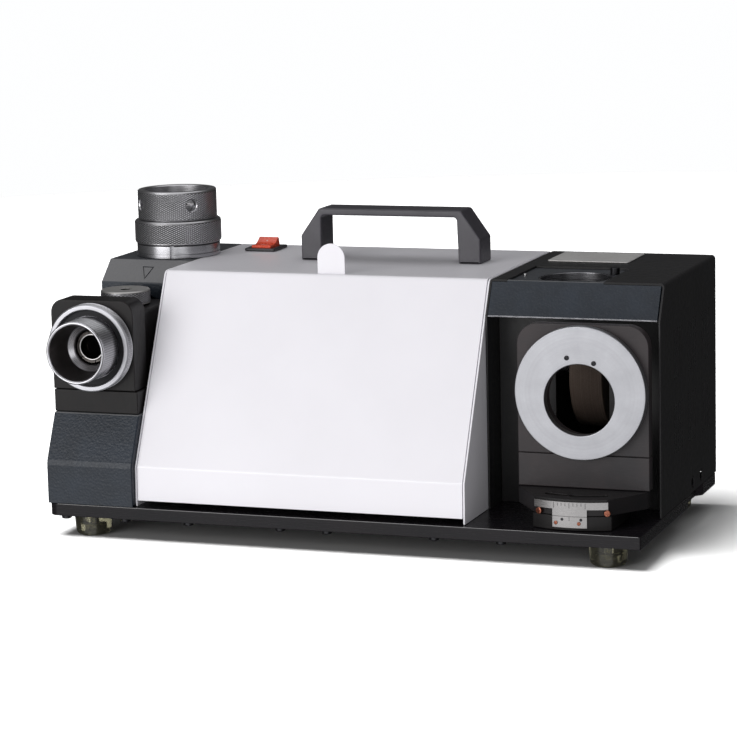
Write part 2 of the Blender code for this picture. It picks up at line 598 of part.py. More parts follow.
def housing_inside():
    """Rear panel, the wall behind the station and the beam that carries the port."""
    t = SHEET
    low, high = HOUSING_LEFT + t + GAP, HOUSING_RIGHT - 2.5
    foot, head = DECK + GAP, TOP - t - GAP
    box("rear_panel", (low, high), (REAR - 2 - t, REAR - 2), (foot, head - 1.5), "black_sheet")
    wall_y, wall_top = 96.0, 174.0
    wall = box("bay_back_wall", (low, high), (wall_y, wall_y + t), (foot, wall_top), "black_sheet")
    cut(wall, box("cut_bay_window", (406, 450), (wall_y - 1, wall_y + t + 1), (62, 152)))
    lean = (BROW_Y - BAY_FRONT) / (TOP - BEAM_LOW)
    outline = [
        (BAY_FRONT, BEAM_LOW), (BAY_FRONT + lean * (TOP - BEAM_LOW) - 0.5, TOP - 0.4), (BROW_Y + 3, TOP - 0.2),
        (BROW_Y + 3, head), (CUTOUT_REAR + 3, head), (CUTOUT_REAR + 3, head - 6), (BROW_Y + 8, head - 6),
        (BAY_FRONT + 6.5, BEAM_LOW),
    ]
    beam = extruded("front_beam", outline, "X", low, high, "hammer_paint")
    lip_left, lip_right = CUTOUT_X[0] + GAP, CUTOUT_X[1] - GAP     # the beam rises into the cut-out here
    for side, span in (("left", (low - 1, lip_left)), ("right", (lip_right, high + 1))):
        cut(beam, box(f"cut_beam_{side}", span, (BROW_Y - 2.5, BROW_Y + 9), (head, TOP + 1)))
    drill(beam, "cut_beam_port", "Z", (PORT_X, PORT_Y, 0), BUSH_R + GAP, 172, 200)
    drill(beam, "cut_beam_screw", "Z", (SCREW_X, SCREW_Y, 0), 2.4, 180, 200, 12)
    bush = tube(BUSH_BORE_R, BUSH_R, 176, head)
    turned("port_bush", bush, "Z", (PORT_X, PORT_Y, 0), ROUND, "bright_steel")
    head_r, stem_r = 3.8, 2.1
    screw = [
        (0, head + 6), (head_r - 0.5, head + 6), (head_r, head + 5.5), (head_r, head + GAP),
        (stem_r, head + GAP), (stem_r, head - 12), (0, head - 12),
    ]
    turned("port_screw", screw, "Z", (SCREW_X, SCREW_Y, 0), 16, "bright_steel")
    label = rounded_box(373.7, 442.5, 185, 239, (2, 2, 2, 2), 2)
    extruded("label_plate", label, "Z", TOP + GAP, TOP + 1.1, "grey_label")


# ---------------------------------------------------------------- right station

SECTOR_R = 74.0
SWIVEL_LOW, SWIVEL_HIGH = 22.0, 35.0
PLATE_HALF, PLATE_FRONT, PLATE_REAR = 53.0, 48.0, 58.0
STATION_STEP, STATION_TOP = 61.6, 164.7


def sector_outline(radius, half_angle, shoulder, rear):
    """A round-nosed plate that turns about the pivot; its nose is an arc towards the front."""
    centre = (PIVOT_X, PIVOT_Y)
    nose = arc(centre, radius, 270 - half_angle, 270 + half_angle, 10)
    half = shoulder[0]
    tail = 14
    back = [(PIVOT_X + half, shoulder[1]), (PIVOT_X + half, shoulder[2]), (PIVOT_X + tail, rear),
            (PIVOT_X - tail, rear), (PIVOT_X - half, shoulder[2]), (PIVOT_X - half, shoulder[1])]
    return nose + back


def curved_strip(name, inner, outer, half_angle, low, high, finish):
    """A strip bent around the pivot, in front of it."""
    centre = (PIVOT_X, PIVOT_Y)
    front = arc(centre, outer, 270 - half_angle, 270 + half_angle, 12)
    back = arc(centre, inner, 270 + half_angle, 270 - half_angle, 12)
    return extruded(name, front + back, "Z", low, high, finish)


def station():
    """Swivelling station: a sector on a fixed one, an upright plate in two pieces and a cam ring."""
    spot = (PIVOT_X, PIVOT_Y, 0)
    pin_r = 5.0
    fixed = sector_outline(SECTOR_R, 25, (33, 30, 60), 94)
    base = extruded("fixed_sector", fixed, "Z", DECK + GAP, SWIVEL_LOW - GAP, "black_oxide")
    drill(base, "cut_fixed_pin", "Z", spot, pin_r + GAP, 5, 30, SMALL_ROUND)
    turning = sector_outline(SECTOR_R, 24, (PLATE_HALF - 1, 45, 57), 91)
    swivel = extruded("swivel_sector", turning, "Z", SWIVEL_LOW, SWIVEL_HIGH, "black_oxide")
    bevel(swivel, 0.8, 1, 60)
    drill(swivel, "cut_swivel_pin", "Z", spot, pin_r + GAP, 15, 40, SMALL_ROUND)
    turned("pivot_pin", tube(0, pin_r, DECK + GAP, SWIVEL_HIGH + 1, 0.6), "Z", spot, SMALL_ROUND, "bright_steel")
    curved_strip("scale_band", SECTOR_R + GAP, SECTOR_R + 1.5, 23, 23, 33, "aluminium")
    curved_strip("pointer_plate", SECTOR_R + GAP, SECTOR_R + 1.5, 8.5, 13, 21, "aluminium")

    left, right = PIVOT_X - PLATE_HALF, PIVOT_X + PLATE_HALF
    foot = box("station_foot", (left, right), (PLATE_FRONT, PLATE_REAR), (SWIVEL_HIGH + GAP, STATION_STEP),
               "black_oxide")
    bevel(foot, 0.8, 1)
    outline = rounded_box(left, right, STATION_STEP + GAP, STATION_TOP, (0, 0, 17, 17), 6)
    plate = extruded("station_plate", outline, "Y", PLATE_FRONT, PLATE_REAR, "black_oxide")
    bevel(plate, 0.8, 1, 60)
    drill(plate, "cut_station_hole", "Y", (PIVOT_X, 0, HOLE_Z), HOLE_R + 1.5, PLATE_FRONT - 1, PLATE_REAR + 1)

    ring_r, ring_front, ring_back = 52.7, 39.5, PLATE_FRONT - GAP
    ring_spot = (PIVOT_X, 0, RING_Z)
    disc = [
        (0, ring_back), (ring_r, ring_back), (ring_r, ring_front + 0.8), (ring_r - 0.8, ring_front),
        (0, ring_front),
    ]
    ring = turned("cam_ring", disc, "Y", ring_spot, 44, "aluminium")
    drill(ring, "cut_ring_hole", "Y", (PIVOT_X - 0.5, 0, HOLE_Z), HOLE_R, ring_front - 1, ring_back + 1)


# ---------------------------------------------------------------- motor and electrics

MOTOR_LEFT, MOTOR_RIGHT, MOTOR_R = 120.0, 300.0, 56.0
SHAFT_R, BEARING_R = 6.0, 16.0
WHEEL_X = (414.5, 441.5)
THIN_WHEEL_X = (28.0, 46.0)


def motor():
    spot = (0, SHAFT_Y, SHAFT_Z)
    casing = turned("motor_casing", tube(52, MOTOR_R, MOTOR_LEFT, MOTOR_RIGHT), "X", spot, 24, "cast_aluminium")
    feet_block = box("add_motor_feet", (160, 260), (112, 188), (DECK + GAP, 64))
    weld(casing, feet_block)
    drill(casing, "cut_motor_inside", "X", spot, 52, MOTOR_LEFT - 1, MOTOR_RIGHT + 1, 24)
    turned("stator", tube(30, 51.2, 150, 270), "X", spot, 24, "silicon_steel")
    for side, x in (("left", MOTOR_LEFT - 8), ("right", MOTOR_RIGHT + GAP)):
        shield = tube(BEARING_R + GAP, MOTOR_R, x, x + 8 - GAP, 1.5)
        turned(f"end_shield_{side}", shield, "X", spot, 24, "cast_aluminium")
        bearing = tube(SHAFT_R + GAP, BEARING_R, x, x + 8 - GAP, 0.5)
        turned(f"bearing_{side}", bearing, "X", spot, 16, "bright_steel")
    rotor_r, core = 29.4, (152, 268)
    shaft = [
        (0, 454), (SHAFT_R - 1, 454), (SHAFT_R, 453), (SHAFT_R, core[1]), (rotor_r, core[1]), (rotor_r, core[0]),
        (SHAFT_R, core[0]), (SHAFT_R, 17), (SHAFT_R - 1, 16), (0, 16),
    ]
    turned("motor_shaft", shaft, "X", spot, 16, "bright_steel")
    bore = SHAFT_R + GAP
    turned("grinding_wheel", tube(bore, 46, *WHEEL_X, 1.0), "X", spot, 32, "abrasive")
    turned("thinning_wheel", tube(bore, 27, *THIN_WHEEL_X, 1.0), "X", spot, 20, "abrasive")
    nut_bore = bore / cos(pi / 6)         # a six-sided bore still clears the round shaft
    nut = 9                               # thickness
    ends = (("right", WHEEL_X[1] + GAP, WHEEL_X[1] + nut), ("left", THIN_WHEEL_X[0] - nut, THIN_WHEEL_X[0] - GAP))
    for side, low, high in ends:
        turned(f"wheel_nut_{side}", tube(nut_bore, 12, low, high, 1.0), "X", spot, 6, "bright_steel")
    hub = [(12, 336), (12, 325), (42, 325), (42, 322), (bore, 322), (bore, 336)]
    fan = turned("cooling_fan", hub, "X", spot, 20, "grey_plastic")
    blades, blade_count = [], 6
    for i in range(blade_count):
        turn = 2 * pi / blade_count * i
        blade = box(f"blade_{i}", (324, 336), (0, 1), (0, 1))
        blade.data.transform(Matrix.Diagonal((1, 26, 2, 1)))
        blade.location = place(330, SHAFT_Y + 26 * cos(turn), SHAFT_Z + 26 * sin(turn))
        blade.rotation_euler = (turn, 0, 0)
        blades.append(blade)
    weld(fan, merged("add_fan_blades", blades))


def electrics():
    can_r = 17
    turned("run_capacitor", tube(0, can_r, 140, 215, 1.5), "X", (0, 222, DECK + can_r + GAP), SMALL_ROUND,
           "grey_plastic")
    block = box("terminal_block", (235, 262), (196, 226), (DECK + GAP, 28), "grey_plastic")
    bevel(block, 0.8, 1)
    back, front = GLAND_REAR, REAR + GAP
    gland = [
        (5.5, back), (7.5, back - 2), (7.5, front + 4), (11, front + 4), (11, front), (8, front), (8, 238),
        (3.6, 238), (3.6, back),
    ]
    turned("cable_gland", gland, "Y", (GLAND_X, 0, GLAND_Z), 12, "black_plastic")
    fuse = [(0, front + 7), (6.2, front + 7), (7, front + 6), (7, front), (5.8, front), (5.8, 224), (0, 224)]
    turned("fuse_holder", fuse, "Y", (FUSE_X, 0, GLAND_Z), 12, "black_plastic")


def collet_store():
    """Rack for spare collets, reached through the front door."""
    shelf = box("collet_rack", (112, 322), (58, 86), (50, 60), "black_oxide")
    weld(shelf, box("add_rack_web", (112, 322), (58, 62), (DECK + GAP, 52)))
    for i in range(3):
        x = 152 + 65 * i
        spot = (x, 73, 0)
        drill(shelf, f"cut_rack_{i}", "Z", spot, 9.3, 45, 65, SMALL_ROUND)
        collet = [
            (9, 94), (13, 90), (13, 60 + GAP), (9, 60 + GAP), (9, 46), (5 + i, 46), (5 + i, 94),
        ]
        turned(f"spare_collet_{i + 1}", collet, "Z", spot, SMALL_ROUND, "bright_steel")


def main():
    base_plate()
    feet()
    head_casting()
    bracket()
    clamp_wheel()
    left_chuck()
    setting_sleeve()
    top_chuck()
    hood()
    front_door()
    handle()
    rocker_switch()
    housing_shell()
    housing_inside()
    station()
    motor()
    electrics()
    collet_store()
    bpy.context.view_layer.update()


main()
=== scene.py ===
"""Looks of the bench drill bit sharpener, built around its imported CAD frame.

Shapes are written in the machine's own millimetres, measured from the base plate's lower front left
corner: X to the right, Y to the back, Z up.  dress() turns them into the row frame's metres.
"""

from math import acos, atan2, cos, pi, radians, sin, tan

import bmesh
import bpy
from mathutils import Matrix, Vector


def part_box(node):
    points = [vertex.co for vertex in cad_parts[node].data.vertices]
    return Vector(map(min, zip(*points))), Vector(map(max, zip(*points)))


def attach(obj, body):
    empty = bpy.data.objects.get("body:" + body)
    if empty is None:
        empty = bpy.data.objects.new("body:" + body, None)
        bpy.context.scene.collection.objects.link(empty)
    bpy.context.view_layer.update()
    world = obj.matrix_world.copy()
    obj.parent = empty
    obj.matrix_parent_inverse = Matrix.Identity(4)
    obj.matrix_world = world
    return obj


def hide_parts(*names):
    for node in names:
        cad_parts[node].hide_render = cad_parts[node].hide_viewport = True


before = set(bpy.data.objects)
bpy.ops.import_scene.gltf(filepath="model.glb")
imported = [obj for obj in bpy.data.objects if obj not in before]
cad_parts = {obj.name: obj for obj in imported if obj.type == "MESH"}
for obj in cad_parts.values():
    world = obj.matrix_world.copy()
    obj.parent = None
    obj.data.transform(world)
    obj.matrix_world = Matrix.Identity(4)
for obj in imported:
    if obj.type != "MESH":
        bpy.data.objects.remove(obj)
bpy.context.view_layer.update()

MM = 0.001
ORIGIN = Vector(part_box("base_plate")[0])      # the machine's zero point in the row frame


def span(node):
    """The extents of a CAD node in machine millimetres: (x0, x1), (y0, y1), (z0, z1)."""
    low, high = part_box(node)
    low, high = (low - ORIGIN) / MM, (high - ORIGIN) / MM
    return (low.x, high.x), (low.y, high.y), (low.z, high.z)


# Driving dimensions, read from the frame where a node gives them
(_, LENGTH), (_, DEPTH), (_, DECK) = span("base_plate")
_, (_, REAR), (_, TOP) = span("head_casting")
HOOD_LEFT, HOOD_RIGHT = span("hood_left_plate")[0][0], span("hood_right_plate")[0][1]
HOUSING_LEFT, HOUSING_RIGHT = span("housing_shell")[0]
BAY_FRONT = span("housing_shell")[1][0]
BROW_Y = 80.0                 # front edge of the flat top
BEAM_LOW = 166.0              # lower edge of the inclined beam
CREASE_Y, CREASE_Z = 6.8, 42.8
SHEET = 1.5
GAP = 0.3
SHAFT_Y, SHAFT_Z = 150.0, 112.0
BRACKET_X, BRACKET_Z = 37.0, 138.0
SLEEVE_X, SLEEVE_Y = 48.0, 174.0
CLAMP_X, CLAMP_Y = 40.0, 80.0
PIVOT_X, PIVOT_Y = 441.8, 82.0
RING_Z, HOLE_Z, HOLE_R = 111.8, 106.6, 28.2
PORT_X, PORT_Y = 419.5, 112.0
SCREW_X, SCREW_Y = 445.2, 134.0
SWITCH_X, SWITCH_Y, SWITCH_Z = 112.0, 215.0, 194.4
GLAND_X, FUSE_X, GLAND_Z = 305.0, 270.0, 40.0


# ---------------------------------------------------------------- mesh tools

def scratch(mesh):
    """A loose object to work on, in machine millimetres."""
    obj = bpy.data.objects.new("scratch", mesh)
    bpy.context.scene.collection.objects.link(obj)
    return obj


def from_bmesh(bm):
    mesh = bpy.data.meshes.new("scratch")
    bmesh.ops.recalc_face_normals(bm, faces=bm.faces)
    if bm.calc_volume(signed=True) < 0:
        bmesh.ops.reverse_faces(bm, faces=bm.faces)
    bm.to_mesh(mesh)
    bm.free()
    return scratch(mesh)


def bake(obj):
    """Apply every modifier."""
    bpy.context.view_layer.update()
    evaluated = obj.evaluated_get(bpy.context.evaluated_depsgraph_get())
    mesh = bpy.data.meshes.new_from_object(evaluated)
    obj.modifiers.clear()
    obj.data = mesh
    return obj


def cut(target, tool):
    modifier = target.modifiers.new("Boolean", "BOOLEAN")
    modifier.operation = "DIFFERENCE"
    modifier.solver = "EXACT"
    modifier.object = tool
    bake(target)
    bpy.data.objects.remove(tool, do_unlink=True)


def join(*objects):
    """Several loose shapes in one mesh, left as separate shells."""
    bm = bmesh.new()
    for obj in objects:
        bm.from_mesh(obj.data)
        bpy.data.objects.remove(obj, do_unlink=True)
    mesh = bpy.data.meshes.new("scratch")
    bm.to_mesh(mesh)
    bm.free()
    return scratch(mesh)


def spot_on(axis, spot, radius, angle, along):
    """A point around an axis."""
    a, b = radius * cos(angle), radius * sin(angle)
    if axis == "X":
        return (along, spot[1] + a, spot[2] + b)
    if axis == "Y":
        return (spot[0] + a, along, spot[2] + b)
    return (spot[0] + a, spot[1] + b, along)


def lathe(profile, axis, spot, steps=96, knurl=None):
    """A turned shape from (radius, distance along the axis) points.

    A profile off the axis closes on itself.

    knurl is (the profile point where the knurled band starts, its diamonds' width, height and depth). The
    band's ends lie at the depth of its grooves, and its faces take the second material.
    """
    start, wide, tall, depth = knurl or (None, 1, 1, 0)
    if knurl:
        steps = 2 * round(pi * (start[0] + depth) / wide)
    rows = []                    # (radius on even columns, radius on odd ones, along, knurled)
    for i, (radius, along) in enumerate(profile):
        knurled = (radius, along) == start
        rows.append((radius, radius, along, knurled))
        if knurled:
            end = profile[(i + 1) % len(profile)][1]
            count = max(2, round(abs(end - along) / (tall / 2)))
            for j in range(1, count):
                pair = (radius + depth, radius) if j % 2 else (radius, radius + depth)
                rows.append((*pair, along + (end - along) * j / count, True))
    bm = bmesh.new()
    rings = []
    for even, odd, along, _ in rows:
        if even <= 0:
            rings.append([bm.verts.new(spot_on(axis, spot, 0, 0, along))])
        else:
            radii = [odd if i % 2 else even for i in range(steps)]
            around = [spot_on(axis, spot, r, 2 * pi * i / steps, along) for i, r in enumerate(radii)]
            rings.append([bm.verts.new(point) for point in around])
    last = len(rows) if min(row[0] for row in rows) > 0 else len(rows) - 1
    for k in range(last):
        one, two, band = rings[k], rings[(k + 1) % len(rows)], rows[k][3]
        next_even, next_odd = rows[(k + 1) % len(rows)][:2]
        for i in range(steps):
            j = (i + 1) % steps
            if len(one) == 1 and len(two) == 1:
                continue
            if len(one) == 1:
                faces = [(one[0], two[i], two[j])]
            elif len(two) == 1:
                faces = [(one[i], one[j], two[0])]
            elif not band:
                faces = [(one[i], one[j], two[j], two[i])]
            else:
                crest_here = (rows[k][1] if i % 2 else rows[k][0]) > start[0]
                crest_across = (next_even if i % 2 else next_odd) > start[0]
                if crest_here or crest_across:        # fold along the groove between two crests
                    faces = [(one[i], one[j], two[i]), (one[j], two[j], two[i])]
                else:
                    faces = [(one[i], one[j], two[j]), (one[i], two[j], two[i])]
            for face in faces:
                bm.faces.new(face).material_index = int(band)
    obj = from_bmesh(bm)
    for _ in range(2):
        obj.data.materials.append(None)
    return obj


def drill(target, axis, spot, radius, low, high, steps):
    cut(target, lathe(tube(0, radius, low, high), axis, spot, steps))


def tube(inner, outer, low, high):
    """Profile of a ring or, with no inner radius, of a rod."""
    if inner:
        return [(outer, high), (outer, low), (inner, low), (inner, high)]
    return [(0, high), (outer, high), (outer, low), (0, low)]


def fillet(points, radius, count=3, closed=True):
    """Round the corners of an outline; radius is one number or one for each corner."""
    radii = radius if isinstance(radius, (list, tuple)) else [radius] * len(points)
    out = []
    for i, (corner, r) in enumerate(zip(points, radii)):
        if r <= 0 or (not closed and i in (0, len(points) - 1)):
            out.append(tuple(corner))
            continue
        corner = Vector(corner)
        back = Vector(points[i - 1]) - corner
        ahead = Vector(points[(i + 1) % len(points)]) - corner
        reach_limit = 0.48 * min(back.length, ahead.length)
        back.normalize()
        ahead.normalize()
        opening = acos(max(-1.0, min(1.0, back.dot(ahead))))
        if opening > radians(176):
            out.append(tuple(corner))
            continue
        reach = min(r / tan(opening / 2), reach_limit)
        weight = sin(opening / 2)
        start, end = corner + back * reach, corner + ahead * reach
        for k in range(count + 1):
            t = k / count
            a, b, c = (1 - t) ** 2, 2 * t * (1 - t) * weight, t * t
            out.append(tuple((start * a + corner * b + end * c) / (a + b + c)))
    return out


def arc(centre, radius, start, end, count):
    angles = [radians(start + (end - start) * i / count) for i in range(count + 1)]
    return [(centre[0] + radius * cos(a), centre[1] + radius * sin(a)) for a in angles]


def circle(x, y, radius, count=64):
    return arc((x, y), radius, 0, 360 * (count - 1) / count, count - 1)


def rectangle(x0, x1, y0, y1, radius=0.0, count=3):
    return fillet([(x0, y0), (x1, y0), (x1, y1), (x0, y1)], radius, count)


def area(outline):
    return sum(a[0] * b[1] - b[0] * a[1] for a, b in zip(outline, outline[1:] + outline[:1])) / 2


def plate(outline, axis, low, high, edge=0.0, holes=(), steps=2):
    """A flat outline with holes, pulled along an axis, with its edges rounded.

    The outline is in (Y, Z), (X, Z) or (X, Y), for the axes X, Y and Z.
    """
    curve = bpy.data.curves.new("scratch", "CURVE")
    curve.dimensions = "2D"
    curve.fill_mode = "BOTH"
    curve.extrude = (high - low) / 2 - edge
    curve.bevel_depth = edge
    curve.bevel_resolution = steps
    curve.offset = -edge
    for number, loop in enumerate([outline, *holes]):
        if (area(loop) > 0) == (number > 0):      # the outside runs one way and the holes the other
            loop = loop[::-1]
        spline = curve.splines.new("POLY")
        spline.points.add(len(loop) - 1)
        for point, (u, v) in zip(spline.points, loop):
            point.co = (u, v, 0, 1)
        spline.use_cyclic_u = True
    shape = scratch(curve)
    bpy.context.view_layer.update()
    mesh = bpy.data.meshes.new_from_object(shape.evaluated_get(bpy.context.evaluated_depsgraph_get()))
    bpy.data.objects.remove(shape, do_unlink=True)
    bm = bmesh.new()
    bm.from_mesh(mesh)
    bmesh.ops.remove_doubles(bm, verts=bm.verts, dist=0.001)
    middle = (low + high) / 2
    for vertex in bm.verts:
        u, v, w = vertex.co.x, vertex.co.y, vertex.co.z + middle
        vertex.co = {"X": (w, u, v), "Y": (u, w, v), "Z": (u, v, w)}[axis]
    return from_bmesh(bm)


def thicken(path, thickness):
    """The outline of a bent sheet: a path and its copy, a sheet's thickness to its right."""
    points = [Vector(p) for p in path]
    inner = []
    for i, point in enumerate(points):
        sides = []
        if i:
            sides.append((point - points[i - 1]).normalized())
        if i < len(points) - 1:
            sides.append((points[i + 1] - point).normalized())
        normals = [Vector((s.y, -s.x)) for s in sides]
        middle = sum(normals, Vector((0, 0))).normalized()
        inner.append(tuple(point + middle * (thickness / max(0.3, middle.dot(normals[0])))))
    return [tuple(p) for p in points] + inner[::-1]


def offset(outline, distance):
    """A closed outline that runs anticlockwise, grown by a distance."""
    grown = []
    for i, corner in enumerate(outline):
        corner = Vector(corner)
        before = (corner - Vector(outline[i - 1])).normalized()
        after = (Vector(outline[(i + 1) % len(outline)]) - corner).normalized()
        sides = [Vector((edge.y, -edge.x)) for edge in (before, after)]
        middle = (sides[0] + sides[1]).normalized()
        grown.append(tuple(corner + middle * (distance / middle.dot(sides[0]))))
    return grown


def block(xs, ys, zs, edge=0.0, segments=2):
    """A block with rounded edges."""
    bm = bmesh.new()
    bmesh.ops.create_cube(bm, size=1)
    bmesh.ops.scale(bm, vec=[high - low for low, high in (xs, ys, zs)], verts=bm.verts)
    bmesh.ops.translate(bm, vec=[(low + high) / 2 for low, high in (xs, ys, zs)], verts=bm.verts)
    obj = from_bmesh(bm)
    if edge:
        modifier = obj.modifiers.new("Bevel", "BEVEL")
        modifier.width = edge
        modifier.segments = segments
        modifier.limit_method = "ANGLE"
        modifier.angle_limit = radians(35)
        bake(obj)
    return obj


def move(obj, matrix):
    obj.data.transform(matrix)
    return obj


# ---------------------------------------------------------------- materials

class Look:
    """A Principled material put together node by node, on the object's own coordinates."""

    def __init__(self, name, colour, roughness, metallic=0.0, **sockets):
        self.material = bpy.data.materials.new(name)
        self.material.use_nodes = True
        self.tree = self.material.node_tree
        self.shader = self.tree.nodes["Principled BSDF"]
        self.shader.inputs["Base Color"].default_value = (*colour, 1)
        self.shader.inputs["Roughness"].default_value = roughness
        self.shader.inputs["Metallic"].default_value = metallic
        for socket, value in sockets.items():
            self.shader.inputs[socket.replace("_", " ")].default_value = value
        self.coordinates = self.node("ShaderNodeTexCoord").outputs["Object"]

    def node(self, kind, settings=None, **links):
        node = self.tree.nodes.new(kind)
        for key, value in (settings or {}).items():
            setattr(node, key, value)
        for key, value in links.items():
            self.feed(node.inputs[key.replace("_", " ")], value)
        return node

    def feed(self, socket, value):
        if isinstance(value, bpy.types.NodeSocket):
            self.tree.links.new(value, socket)
        else:
            socket.default_value = value

    def math(self, operation, first, second=0.0):
        node = self.node("ShaderNodeMath", {"operation": operation})
        self.feed(node.inputs[0], first)
        self.feed(node.inputs[1], second)
        return node.outputs[0]

    def stretch(self, scale):
        """The coordinates scaled differently along each axis."""
        node = self.node("ShaderNodeMapping", Vector=self.coordinates)
        node.inputs["Scale"].default_value = scale
        return node.outputs[0]

    def noise(self, scale, detail=3.0, roughness=0.55, vector=None, distortion=0.0):
        node = self.node("ShaderNodeTexNoise", Vector=vector or self.coordinates, Scale=scale,
                         Detail=detail, Roughness=roughness, Distortion=distortion)
        return node.outputs["Fac"]

    def cells(self, scale, feature="F1"):
        node = self.node("ShaderNodeTexVoronoi", {"feature": feature}, Vector=self.coordinates, Scale=scale)
        return node.outputs["Distance"]

    def spread(self, value, low, high, to_low=0.0, to_high=1.0):
        node = self.node("ShaderNodeMapRange", Value=value)
        node.inputs["From Min"].default_value = low
        node.inputs["From Max"].default_value = high
        node.inputs["To Min"].default_value = to_low
        node.inputs["To Max"].default_value = to_high
        return node.outputs[0]

    def blend(self, factor, first, second):
        node = self.node("ShaderNodeMix", {"data_type": "RGBA"})
        self.feed(node.inputs[0], factor)
        self.feed(node.inputs[6], first if isinstance(first, bpy.types.NodeSocket) else (*first, 1))
        self.feed(node.inputs[7], second if isinstance(second, bpy.types.NodeSocket) else (*second, 1))
        return node.outputs[2]

    def mottle(self, value, base, dark, light, low=0.3, high=0.7):
        """The base colour from darker to lighter, as a texture runs."""
        return self.blend(self.spread(value, low, high), shade(base, dark), shade(base, light))

    def colour(self, socket):
        self.feed(self.shader.inputs["Base Color"], socket)

    def rough(self, value, low, high):
        """Roughness that runs between two values as a texture does."""
        self.feed(self.shader.inputs["Roughness"], self.spread(value, 0.25, 0.75, low, high))

    def bump(self, height, strength, distance):
        previous = self.shader.inputs["Normal"].links
        node = self.node("ShaderNodeBump", Height=height, Strength=strength)
        node.inputs["Distance"].default_value = distance
        if previous:
            self.feed(node.inputs["Normal"], previous[0].from_socket)
        self.feed(self.shader.inputs["Normal"], node.outputs[0])

    def upward(self):
        """How far a face looks up: 1 for level faces, 0 for upright ones."""
        split = self.node("ShaderNodeSeparateXYZ")
        self.feed(split.inputs[0], self.node("ShaderNodeNewGeometry").outputs["Normal"])
        return split.outputs["Z"]

    def around(self, axis, spot):
        """Distances from an axis and along it: as one vector, then as two numbers."""
        middle = ORIGIN + Vector(spot) * MM
        shifted = self.node("ShaderNodeVectorMath", {"operation": "SUBTRACT"})
        self.feed(shifted.inputs[0], self.coordinates)
        shifted.inputs[1].default_value = middle
        parts = self.node("ShaderNodeSeparateXYZ", Vector=shifted.outputs[0]).outputs
        along = parts["XYZ".index(axis)]
        first, second = [parts[i] for i in range(3) if "XYZ"[i] != axis]
        squares = [self.math("MULTIPLY", part, part) for part in (first, second)]
        radius = self.math("SQRT", self.math("ADD", *squares))
        node = self.node("ShaderNodeCombineXYZ")
        self.feed(node.inputs[0], radius)
        self.feed(node.inputs[1], along)
        return node.outputs[0], radius, along


def shade(colour, factor):
    return tuple(channel * factor for channel in colour)


def hammer_paint(name):
    # flat paint, the grey of the painted sheen on upward slopes, and the hammer flecks
    base, painted_sheen_grey, fleck = (0.0110, 0.0160, 0.0245), (0.135, 0.135, 0.140), (0.07, 0.085, 0.105)
    look = Look(name, base, 0.42, 0.0, Specular_IOR_Level=0.34)
    pits = look.cells(560, "SMOOTH_F1")
    grains = look.noise(2200, 2)
    patch = look.noise(38, 3)
    tone = look.mottle(patch, base, 0.8, 1.3)
    # painted sheen: faces sloping upward are lightened towards grey, fully at mid tilt and to about a third on
    # level tops, standing in for light from above
    up = look.upward()
    painted_sheen = look.math("MULTIPLY", look.spread(up, 0.46, 0.60), look.spread(up, 0.80, 0.99, 1.0, 0.35))
    tone = look.blend(painted_sheen, tone, painted_sheen_grey)
    flecks = look.spread(grains, 0.60, 0.68)
    look.colour(look.blend(look.math("MULTIPLY", flecks, 0.30), tone, fleck))
    look.rough(look.noise(500, 2), 0.34, 0.50)
    look.bump(pits, 0.45, 0.00045)
    look.bump(grains, 0.20, 0.00010)
    return look.material


def powder_coat(name, base, roughness, peel=0.12, scale=1500):
    look = Look(name, base, roughness, Specular_IOR_Level=0.35)
    tone = look.mottle(look.noise(30, 4), base, 0.88, 1.1)
    look.colour(tone)
    look.rough(look.noise(220, 3), roughness - 0.06, roughness + 0.08)
    look.bump(look.noise(scale, 2), peel, 0.00006)
    return look.material


def white_paint(name):
    base = (0.80, 0.785, 0.83)
    look = Look(name, base, 0.36, Coat_Weight=0.15, Coat_Roughness=0.15)
    look.colour(look.mottle(look.noise(14, 4), base, 0.965, 1.0))
    look.rough(look.noise(300, 3), 0.32, 0.42)
    look.bump(look.noise(700, 2), 0.05, 0.00006)
    return look.material


def black_oxide(name, base, stretch=(1, 12, 12), roughness=0.40, gloss=0.35):
    """Ground and blackened steel, with the grinding marks along one direction."""
    look = Look(name, base, roughness, 0.0, Specular_IOR_Level=gloss)
    marks = look.noise(170, 5, 0.7, look.stretch(stretch))
    patch = look.noise(24, 5, 0.6, distortion=0.4)
    warm = (base[0] * 1.2, base[1] * 1.06, base[2] * 1.02)
    tone = look.blend(look.spread(patch, 0.35, 0.65), shade(base, 0.8), warm)
    look.colour(look.blend(look.spread(marks, 0.50, 0.80, 0.0, 0.30), tone, shade(base, 2.0)))
    look.rough(look.noise(90, 4, 0.6, look.stretch(stretch)), roughness - 0.09, roughness + 0.1)
    look.bump(marks, 0.10, 0.00004)
    return look.material


def turned_metal(name, axis, spot, base, roughness, lines=2600, line_depth=0.10):
    """Turned metal: fine rings around its axis, and faint stains."""
    look = Look(name, base, roughness, 1.0)
    coordinates, _, _ = look.around(axis, spot)
    rings = look.noise(lines, 3, 0.6, coordinates)
    stain = look.noise(60, 4, 0.6)
    tone = look.mottle(stain, base, 0.9, 1.04)
    look.colour(look.blend(look.spread(rings, 0.3, 0.7, 0, 0.5), tone, shade(base, 0.86)))
    look.rough(rings, roughness - 0.05, roughness + 0.08)
    look.bump(rings, line_depth, 0.00002)
    return look.material


def knurled_metal(name, axis, spot, radius, depth, base=(0.80, 0.795, 0.825)):
    """Knurled steel with painted shade in its knurl: the colour darkens from the crests down to about a quarter
    at the groove bottoms.
    """
    look = Look(name, base, 0.30, 1.0)
    _, distance, _ = look.around(axis, spot)
    crest = look.spread(distance, (radius - depth) * MM, radius * MM)
    stain = look.noise(120, 4, 0.6)
    tone = look.mottle(stain, base, 0.86, 1.08)
    # painted shade: the grooves are darkened to about a quarter of the crest colour
    look.colour(look.blend(look.spread(crest, 0.15, 0.75), shade(base, 0.26), tone))
    look.rough(look.noise(900, 3), 0.28, 0.46)
    look.bump(look.noise(3200, 2), 0.08, 0.00003)
    return look.material


